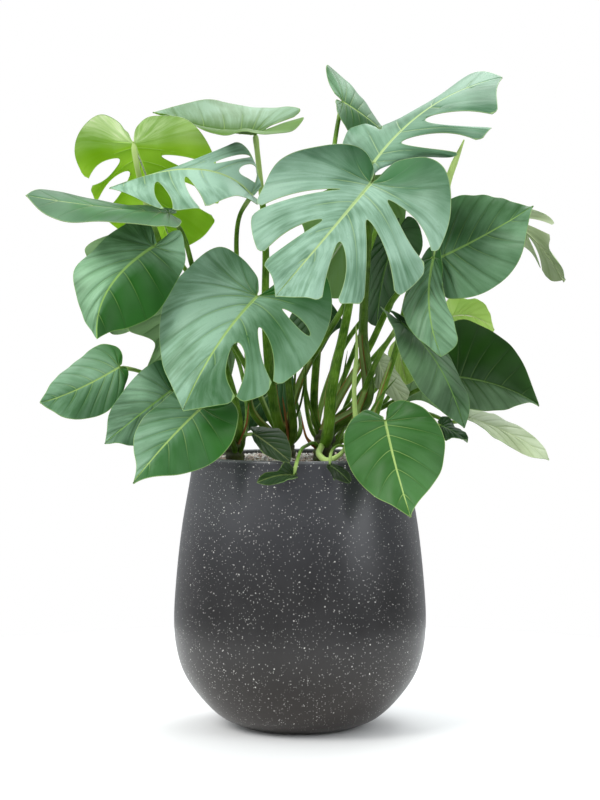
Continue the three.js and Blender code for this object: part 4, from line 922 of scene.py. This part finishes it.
def free_edges(faces):
    """The edges that only one face has."""
    edges = np.vstack([faces[:, [0, 1]], faces[:, [1, 2]], faces[:, [2, 0]]])
    known = {tuple(e) for e in edges.tolist()}
    return np.array([e for e in known if (e[1], e[0]) not in known])


def corner_normals(corners, faces):
    normals = np.zeros_like(corners)
    first = corners[faces[:, 0]]
    cross = np.cross(corners[faces[:, 1]] - first, corners[faces[:, 2]] - first)
    for k in range(3):
        np.add.at(normals, faces[:, k], cross)
    return normals / (np.linalg.norm(normals, axis=1, keepdims=True) + 1e-9)


def add_blade(name, leaf):
    """A leaf blade: two fine faces that follow the veins, and the thin wall round the margin."""
    lightness, hue, *look = LOOKS.get(name, PLAIN_LOOK)
    dice = random.Random(name)
    size = np.linalg.norm(np.array(leaf["midrib"][2]) - np.array(leaf["midrib"][0]))
    spacing = SPACING_SMALL if leaf.get("joined") else SPACING
    left, right = (half_blade(leaf, side, look, size, spacing, dice) for side in ("left", "right"))
    points = np.vstack([left[0], right[0]])
    faces = np.vstack([left[1], right[1] + len(left[0])])
    known = np.vstack([left[2], right[2]])
    corners, first, merged = np.unique(np.round(points, 2), axis=0, return_index=True, return_inverse=True)
    merged = merged.ravel()
    joined = merged[faces]
    whole = (joined != np.roll(joined, 1, axis=1)).all(axis=1)
    faces, joined = faces[whole], joined[whole]
    rim = free_edges(joined)
    to_margin = nearest(corners, corners[np.unique(rim)])
    normals = corner_normals(corners, joined)
    reach, relief, rib, vein = known[first, 4:8].T
    middle = corners + normals * relief[:, None]
    fade = (1 - reach) ** 0.5
    groove = 0.7 * np.exp(-(rib / 1.5) ** 2) + 0.4 * np.exp(-(vein / 0.9) ** 2) * fade
    ridge = 1.5 * np.exp(-(rib / 1.8) ** 2) + 0.6 * np.exp(-(vein / 1.0) ** 2) * fade
    top = middle + normals * (BLADE_THICKNESS / 2 - groove)[:, None]
    bottom = middle - normals * (BLADE_THICKNESS / 2 + ridge)[:, None]
    both = np.vstack([top, bottom])
    n = len(corners)
    wall = np.array([[b, a, a + n, b + n] for a, b in rim.tolist()])
    wall_corners, wall_index = np.unique(wall, return_inverse=True)
    wall = wall_index.reshape(wall.shape) + 2 * n
    all_corners = np.vstack([both, both[wall_corners]])
    all_faces = joined.tolist() + (joined[:, ::-1] + n).tolist() + wall.tolist()
    which = [0] * len(joined) + [1] * len(joined) + [2] * len(wall)
    order = np.concatenate([faces.ravel(), faces[:, ::-1].ravel()])
    known = known[order]
    place = np.stack([to_margin[merged[order]], known[:, 4]], axis=1)
    rest = np.ones((wall.size, 2))
    maps = {
        "ribs": np.vstack([known[:, :2], rest * 50]),
        "place": np.vstack([place, rest * [0, 1]]),
        "grain": np.vstack([known[:, 2:4], rest * 0]),
        "tint": np.tile([lightness, hue], (len(order) + wall.size, 1)),
        "painted_sheen": np.vstack([np.repeat(known[:, 8:], 2, axis=1), rest * 0]),
    }
    tone = leaf["tone"]
    face = FACES.get(name, tone)
    materials = [LEAF_TOPS[face], LEAF_UNDERSIDES[face], MARGIN]
    node_name = ("leaf_" if leaf.get("joined") else "blade_") + name
    add_piece("leaf_" + name, all_corners, all_faces, materials, which, maps, [node_name])


def round_shape(angles, share):
    return np.ones_like(angles)


def flat_shape(angles, share):
    """The shape of a thin curled strip."""
    return 1 / np.sqrt(np.cos(angles) ** 2 + (np.sin(angles) / 0.3) ** 2)


def tube(line, shares, radii, sides, facing, shape):
    """A tube along a line, open at both ends. shape gives each ring's radius factor by angle. The
    last result holds the ring and the side of each face corner."""
    tangents = np.gradient(line, axis=0)
    tangents /= np.linalg.norm(tangents, axis=1, keepdims=True)
    side = facing - tangents[0] * np.dot(facing, tangents[0])
    side /= np.linalg.norm(side)
    angles = np.arange(sides) * 2 * math.pi / sides
    corners = []
    for point, tangent, radius, share in zip(line, tangents, radii, shares):
        side = side - tangent * np.dot(side, tangent)
        side /= np.linalg.norm(side)
        other = np.cross(tangent, side)
        factors = shape(angles, share)
        ring = (np.cos(angles) * factors)[:, None] * side + (np.sin(angles) * factors)[:, None] * other
        corners.append(point + ring * radius)
    pairs = [(r + up, i + on) for r in range(len(line) - 1) for i in range(sides)
             for up, on in ((0, 0), (0, 1), (1, 1), (1, 0))]
    return np.vstack(corners), ring_faces(len(line), sides), pairs


def stalk_start(crown_name, height, direction):
    """Where a stalk starts inside its crown, where it leaves it, and which way its groove faces."""
    crown = CROWNS[crown_name]
    angle = math.radians(direction)
    start = np.array([crown["at"][0] + crown["lean"][0] * height,
                      crown["at"][1] + crown["lean"][1] * height, SOIL_TOP + height])
    outwards = np.array([math.cos(angle), math.sin(angle), 1.0])
    return start, start + outwards * STALK_EXIT, np.array([-outwards[0], -outwards[1], 0.6])


def turned_from(angle):
    """How far an angle is from 0, either way round."""
    return np.abs((angle + math.pi) % (2 * math.pi) - math.pi)


def add_stalk(name, leaf):
    """A leaf stalk: grooved on its inner side, winged by a sheath at its foot, thicker at its top."""
    lightness, pale_from = STALK_LOOKS.get(name, PLAIN_STALK)
    sheath = SHEATH_SHARE_SMALL if leaf.get("joined") else SHEATH_SHARE
    crown_name, height, direction, way, big, small = leaf["stalk"]
    start, exit_point, facing = stalk_start(crown_name, height, direction)
    line, shares = even_line(smooth_line([start, exit_point] + way + [leaf["midrib"][0]], 12), 7)
    length = np.linalg.norm(np.diff(line, axis=0), axis=1).sum()
    knee = np.exp(-(((1 - shares) * length - 14) / 12) ** 2)
    radii = (big + (small - big) * shares) * (1 + 0.18 * knee)
    radii[-1] *= 0.5

    def shape(angles, share):
        turned = turned_from(angles)
        winged = np.clip((sheath - share) / 0.08, 0, 1)
        dent = (0.2 + 0.2 * winged) * np.exp(-(turned / 0.42) ** 2)
        wings = 0.32 * winged * np.exp(-(((turned - 0.78) / 0.22) ** 2))
        return 1 - dent + wings

    sides = 16 if big > 5 else 12
    corners, faces, pairs = tube(line, shares, radii, sides, facing, shape)
    along = [[shares[r] * length / 40, i / sides] for r, i in pairs]
    dryness_pallor_and_highlight = []
    for r, i in pairs:
        turned = turned_from(2 * math.pi * i / sides)
        winged = 1.0 if shares[r] < sheath else 0.0
        # Pale at the knee; the pale band on the sheath's inner face is a painted highlight.
        pale = 0.65 * knee[r] + 0.85 * winged * math.exp(-((turned / 0.6) ** 2))
        pale += 0.9 * min(1, max(0, (shares[r] - pale_from) / 0.1))
        dryness_pallor_and_highlight.append([0.75 * winged * math.exp(-(((turned - 0.78) / 0.3) ** 2)), min(pale, 1)])
    maps = {"along": along, "dryness_pallor_and_highlight": dryness_pallor_and_highlight, "tint": np.full((len(pairs), 2), lightness)}
    replaced = [] if leaf.get("joined") else ["petiole_" + name]
    add_piece("stalk_" + name, corners, faces, [STALK], None, maps, replaced)


def add_shoot(name, points, radius, lightness, dried):
    """A shoot, a creeping stem or a dried sheath at the foot."""
    line, shares = even_line(smooth_line(points, 12), 4)
    radii = radius * np.interp(shares, [0, 0.6, 0.9, 1], [1, 0.85, 0.4, 0.08])
    shape = flat_shape if dried else round_shape
    corners, faces, pairs = tube(line, shares, radii, 12, np.array([0.4, 1.0, 0.2]), shape)
    along = [[shares[r] * 3, i / 12] for r, i in pairs]
    dryness_pallor_and_highlight = [float(dried), 0.8 if lightness > PALE_SHOOT_LIGHTNESS else 0.0]
    maps = {"along": along, "dryness_pallor_and_highlight": np.tile(dryness_pallor_and_highlight, (len(pairs), 1)),
            "tint": np.full((len(pairs), 2), lightness)}
    add_piece(name, corners, faces, [STALK], None, maps)


def add_spear():
    """The new leaf: a plain stalk that widens into a tightly rolled blade with a spiral seam."""
    start, exit_point, facing = stalk_start("back", 30, 45)
    line, shares = even_line(smooth_line([start, exit_point] + SPEAR_POINTS, 14), 5)
    radii = np.interp(shares, [0, 0.5, 0.62, 0.8, 0.93, 1], [4, 3.4, 3.6, 7.4, 5.5, 1.2])

    def shape(angles, share):
        rolled = np.clip((share - 0.58) / 0.1, 0, 1)
        turned = (angles - share * 9) % (2 * math.pi)
        return 1 - 0.22 * rolled * (turned / (2 * math.pi))

    sides = 18
    corners, faces, pairs = tube(line, shares, radii, sides, facing, shape)
    maps = {
        "along": [[shares[r] * 14, i / sides] for r, i in pairs],
        "dryness_pallor_and_highlight": [[0, np.clip((shares[r] - 0.5) / 0.12, 0, 0.9)] for r, _ in pairs],
        "tint": np.full((len(pairs), 2), 1.3),
    }
    add_piece("rolled_leaf", corners, faces, [STALK], None, maps, ["rolled_new_leaf"])


def add_pot():
    """The pot's wall outside, its round lip, and its wall and floor inside."""
    outer = smooth_line([[r, z, 0] for r, z in POT_WALL_POINTS], 7)[:, :2].tolist()
    wall = [(0, 0), (60, 0), (88, 0)] + outer[1:-1]
    lip = POT_WALL_POINTS[-1][0]
    for i in range(9):
        angle = math.pi * i / 8
        wall.append((lip - 3.4 + 3.7 * math.cos(angle), POT_HEIGHT - 3.4 + 3.4 * math.sin(angle)))
    inner = [(r - POT_WALL, z) for r, z in outer[::-1] if POT_INSIDE_FLOOR + 2 < z < POT_HEIGHT - 8]
    wall += inner + [(inner[-1][0] - 12, POT_INSIDE_FLOOR), (0, POT_INSIDE_FLOOR)]
    corners, faces = lathe(wall, 180)
    add_piece("speckled_pot", corners, faces, [pot_material()], replaces=["planter"])


def stone_shape():
    """The corners and faces of a regular solid with 20 faces, the rough shape of a granule."""
    golden = (1 + 5**0.5) / 2
    base = [(s, t * golden, 0) for s in (-1, 1) for t in (-1, 1)]
    base += [(0, s, t * golden) for s in (-1, 1) for t in (-1, 1)]
    base += [(s * golden, 0, t) for s in (-1, 1) for t in (-1, 1)]
    base = np.array(base) / np.linalg.norm(base[0])
    faces = [(i, j, k) for i in range(12) for j in range(i + 1, 12) for k in range(j + 1, 12)
             if max(np.linalg.norm(base[a] - base[b]) for a, b in ((i, j), (j, k), (i, k))) < 1.1]
    return base, [f if np.linalg.det(base[list(f)]) > 0 else (f[0], f[2], f[1]) for f in faces]


def add_gravel():
    """A rough bed with loose granules on it, clear of the stems."""
    bed = plain_material("gravel_bed", (104, 90, 80), (170, 158, 146), 0.85, 90, 2.0)
    profile = [(0, GRAVEL_TOP - 3), (80, GRAVEL_TOP - 3), (150, GRAVEL_TOP - 4), (162, GRAVEL_TOP - 6)]
    corners, faces = lathe(profile, 48)
    add_piece("gravel_bed", corners, faces, [bed], replaces=["gravel_top_dressing"])
    base, sides = stone_shape()
    parts = [part for _, _, part in STONE_COLOURS.values()]
    dice = np.random.default_rng(11)
    corners, faces, which = [], [], []
    for row in range(-30, 31):
        for column in range(-30, 31):
            x = (column + 0.5 * (row % 2)) * STONE_GAP + dice.normal(0, 1.1)
            y = row * STONE_GAP * STONE_ROW_GAP + dice.normal(0, 1.1)
            stem = min(math.hypot(x - c["at"][0], y - c["at"][1]) for c in CROWNS.values())
            if math.hypot(x, y) > GRAVEL_RADIUS or stem < CROWN_RADIUS + 1:
                continue
            half = dice.uniform(2.2, 3.9) * np.array([1, dice.uniform(0.65, 1), dice.uniform(0.55, 0.85)])
            turn = np.linalg.qr(dice.normal(size=(3, 3)))[0]
            if np.linalg.det(turn) < 0:
                turn[:, 0] *= -1
            shape = base * (1 + dice.uniform(-0.16, 0.16, (len(base), 1)))
            stone = (shape * half) @ turn.T + [x, y, GRAVEL_TOP - 1.6 + dice.uniform(-0.8, 1.4)]
            faces += [[a + len(corners) * len(base) for a in f] for f in sides]
            which += [int(dice.choice(len(parts), p=parts))] * len(sides)
            corners.append(stone)
    materials = [plain_material("granule_" + name, dark, light, 0.6, 260, 0.3)
                 for name, (dark, light, _) in STONE_COLOURS.items()]
    add_piece("gravel_granules", np.vstack(corners), faces, materials, which)


def add_crown(name, crown):
    """A short stem, ringed by the scars of old leaves."""
    turns, rows = 28, 26
    phase = random.Random(name).uniform(0, 6)
    corners = []
    for row in range(rows + 1):
        share = row / rows
        z = CROWN_HEIGHT * min(1, share * 1.12)
        radius = CROWN_RADIUS * float(np.interp(share, [0, 0.3, 0.75, 0.92, 1], [0.92, 1, 0.86, 0.5, 0.02]))
        for i in range(turns):
            angle = 2 * math.pi * i / turns
            scar = 0.06 * math.sin(share * 34 + math.sin(angle + phase) * 1.5)
            scar += 0.04 * math.sin(3 * angle + phase)
            r = radius * (1 + scar)
            corners.append([crown["at"][0] + crown["lean"][0] * z + r * math.cos(angle),
                            crown["at"][1] + crown["lean"][1] * z + r * math.sin(angle), SOIL_TOP + z])
    faces = ring_faces(rows + 1, turns)
    add_piece("stem_" + name, corners, faces, [CROWN_SKIN], replaces=["crown_" + name])


def add_floor():
    corners, faces = lathe([(FLOOR_RADIUS, 0), (0.001, 0)], 96)
    mesh = bpy.data.meshes.new("floor")
    mesh.from_pydata((corners * 0.001).tolist(), [], faces)
    floor = bpy.data.objects.new("floor", mesh)
    bpy.context.scene.collection.objects.link(floor)
    material, tree, place = new_material("floor_white")
    finish_material(tree, shade(244, 244, 243), 0.9, noise(tree, place, 30), 0.1)
    mesh.materials.append(material)


def light_room():
    """A room that is bright behind the plant and above it, with a window on the left, and dim in
    front and low. The camera sees plain white in its place."""
    world = bpy.data.worlds.new("studio")
    bpy.context.scene.world = world
    world.use_nodes = True
    tree = world.node_tree
    tree.nodes.clear()
    x, y, z = node(tree, "SeparateXYZ", {0: node(tree, "TexCoord").outputs["Generated"]}).outputs
    behind = calc(tree, "MULTIPLY", ramp(tree, y, -0.3, 0.8, 0.38, 1.3), ramp(tree, z, 0.0, 0.5, 0.4, 1.0))
    above = ramp(tree, z, 0.0, 1.0, 0.0, 0.25)
    raised = ramp(tree, z, 0.04, 0.3)
    leftwards, forwards = calc(tree, "MULTIPLY", x, -1.0), calc(tree, "MULTIPLY", y, -1.0)
    window = calc(tree, "MULTIPLY", ramp(tree, leftwards, 0.6, 0.98, 0.0, 1.8), raised)
    front = calc(tree, "MULTIPLY", ramp(tree, forwards, -0.25, 0.35, 0.0, 0.7), raised)
    front = calc(tree, "MULTIPLY", front, ramp(tree, z, 0.4, 0.65, 1.0, 0.4))
    strength = calc(tree, "ADD", calc(tree, "ADD", behind, above), calc(tree, "ADD", window, front))
    room = node(tree, "Background", {"Strength": strength, "Color": (0.95, 0.98, 1, 1)})
    backdrop = node(tree, "Background", {"Color": (1, 1, 1, 1)})
    seen = node(tree, "LightPath").outputs["Is Camera Ray"]
    both = node(tree, "MixShader", {0: seen, 1: room.outputs[0], 2: backdrop.outputs[0]})
    node(tree, "OutputWorld", {"Surface": both.outputs[0]})


def add_lamp(name, place, aim, size, power, colour):
    data = bpy.data.lights.new(name, "AREA")
    data.size = size
    data.energy = power
    data.color = colour
    lamp = bpy.data.objects.new(name, data)
    lamp.location = place
    lamp.rotation_mode = "QUATERNION"
    lamp.rotation_quaternion = (Vector(aim) - Vector(place)).to_track_quat("-Z", "Y")
    bpy.context.scene.collection.objects.link(lamp)


def add_camera():
    data = bpy.data.cameras.new("camera")
    data.lens = CAMERA_LENS
    camera = bpy.data.objects.new("camera", data)
    camera.location = CAMERA_PLACE
    camera.rotation_euler = (math.radians(90 - CAMERA_DIP), 0, 0)
    bpy.context.scene.collection.objects.link(camera)
    bpy.context.scene.camera = camera


LEAF_TOPS, LEAF_UNDERSIDES = {}, {}
for tone, (*colours, roughness, through) in TONES.items():
    dark, light, under_dark, under_light, vein, painted_sheen = (shade(*c) for c in colours)
    LEAF_TOPS[tone] = leaf_material(
        "leaf_top_" + tone, dark, light, vein, painted_sheen, roughness, False, through, 0.9)
    LEAF_UNDERSIDES[tone] = leaf_material(
        "leaf_under_" + tone, under_dark, under_light, vein, painted_sheen, UNDERSIDE_ROUGHNESS, True, through, 0.6)
MARGIN = plain_material("leaf_margin", (96, 134, 68), (134, 166, 96), 0.5, 60, 0.1)
STALK = stalk_material()
CROWN_SKIN = plain_material("stem_skin", (44, 44, 20), (76, 88, 34), 0.6, 60, 1.0)

add_pot()
add_gravel()
for name, crown in CROWNS.items():
    add_crown(name, crown)
for name, leaf in LEAVES.items():
    add_blade(name, leaf)
    add_stalk(name, leaf)
add_spear()
for name, shoot in SHOOTS.items():
    add_shoot(name, *shoot)
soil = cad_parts["potting_soil"]
soil.data.materials.clear()
soil.data.materials.append(plain_material("potting_mix", (44, 32, 22), (84, 62, 44), 0.95, 70, 2.5))

add_floor()
light_room()
for name, lamp in LAMPS.items():
    add_lamp(name, *lamp)
add_camera()
bpy.context.scene.view_settings.view_transform = "Standard"
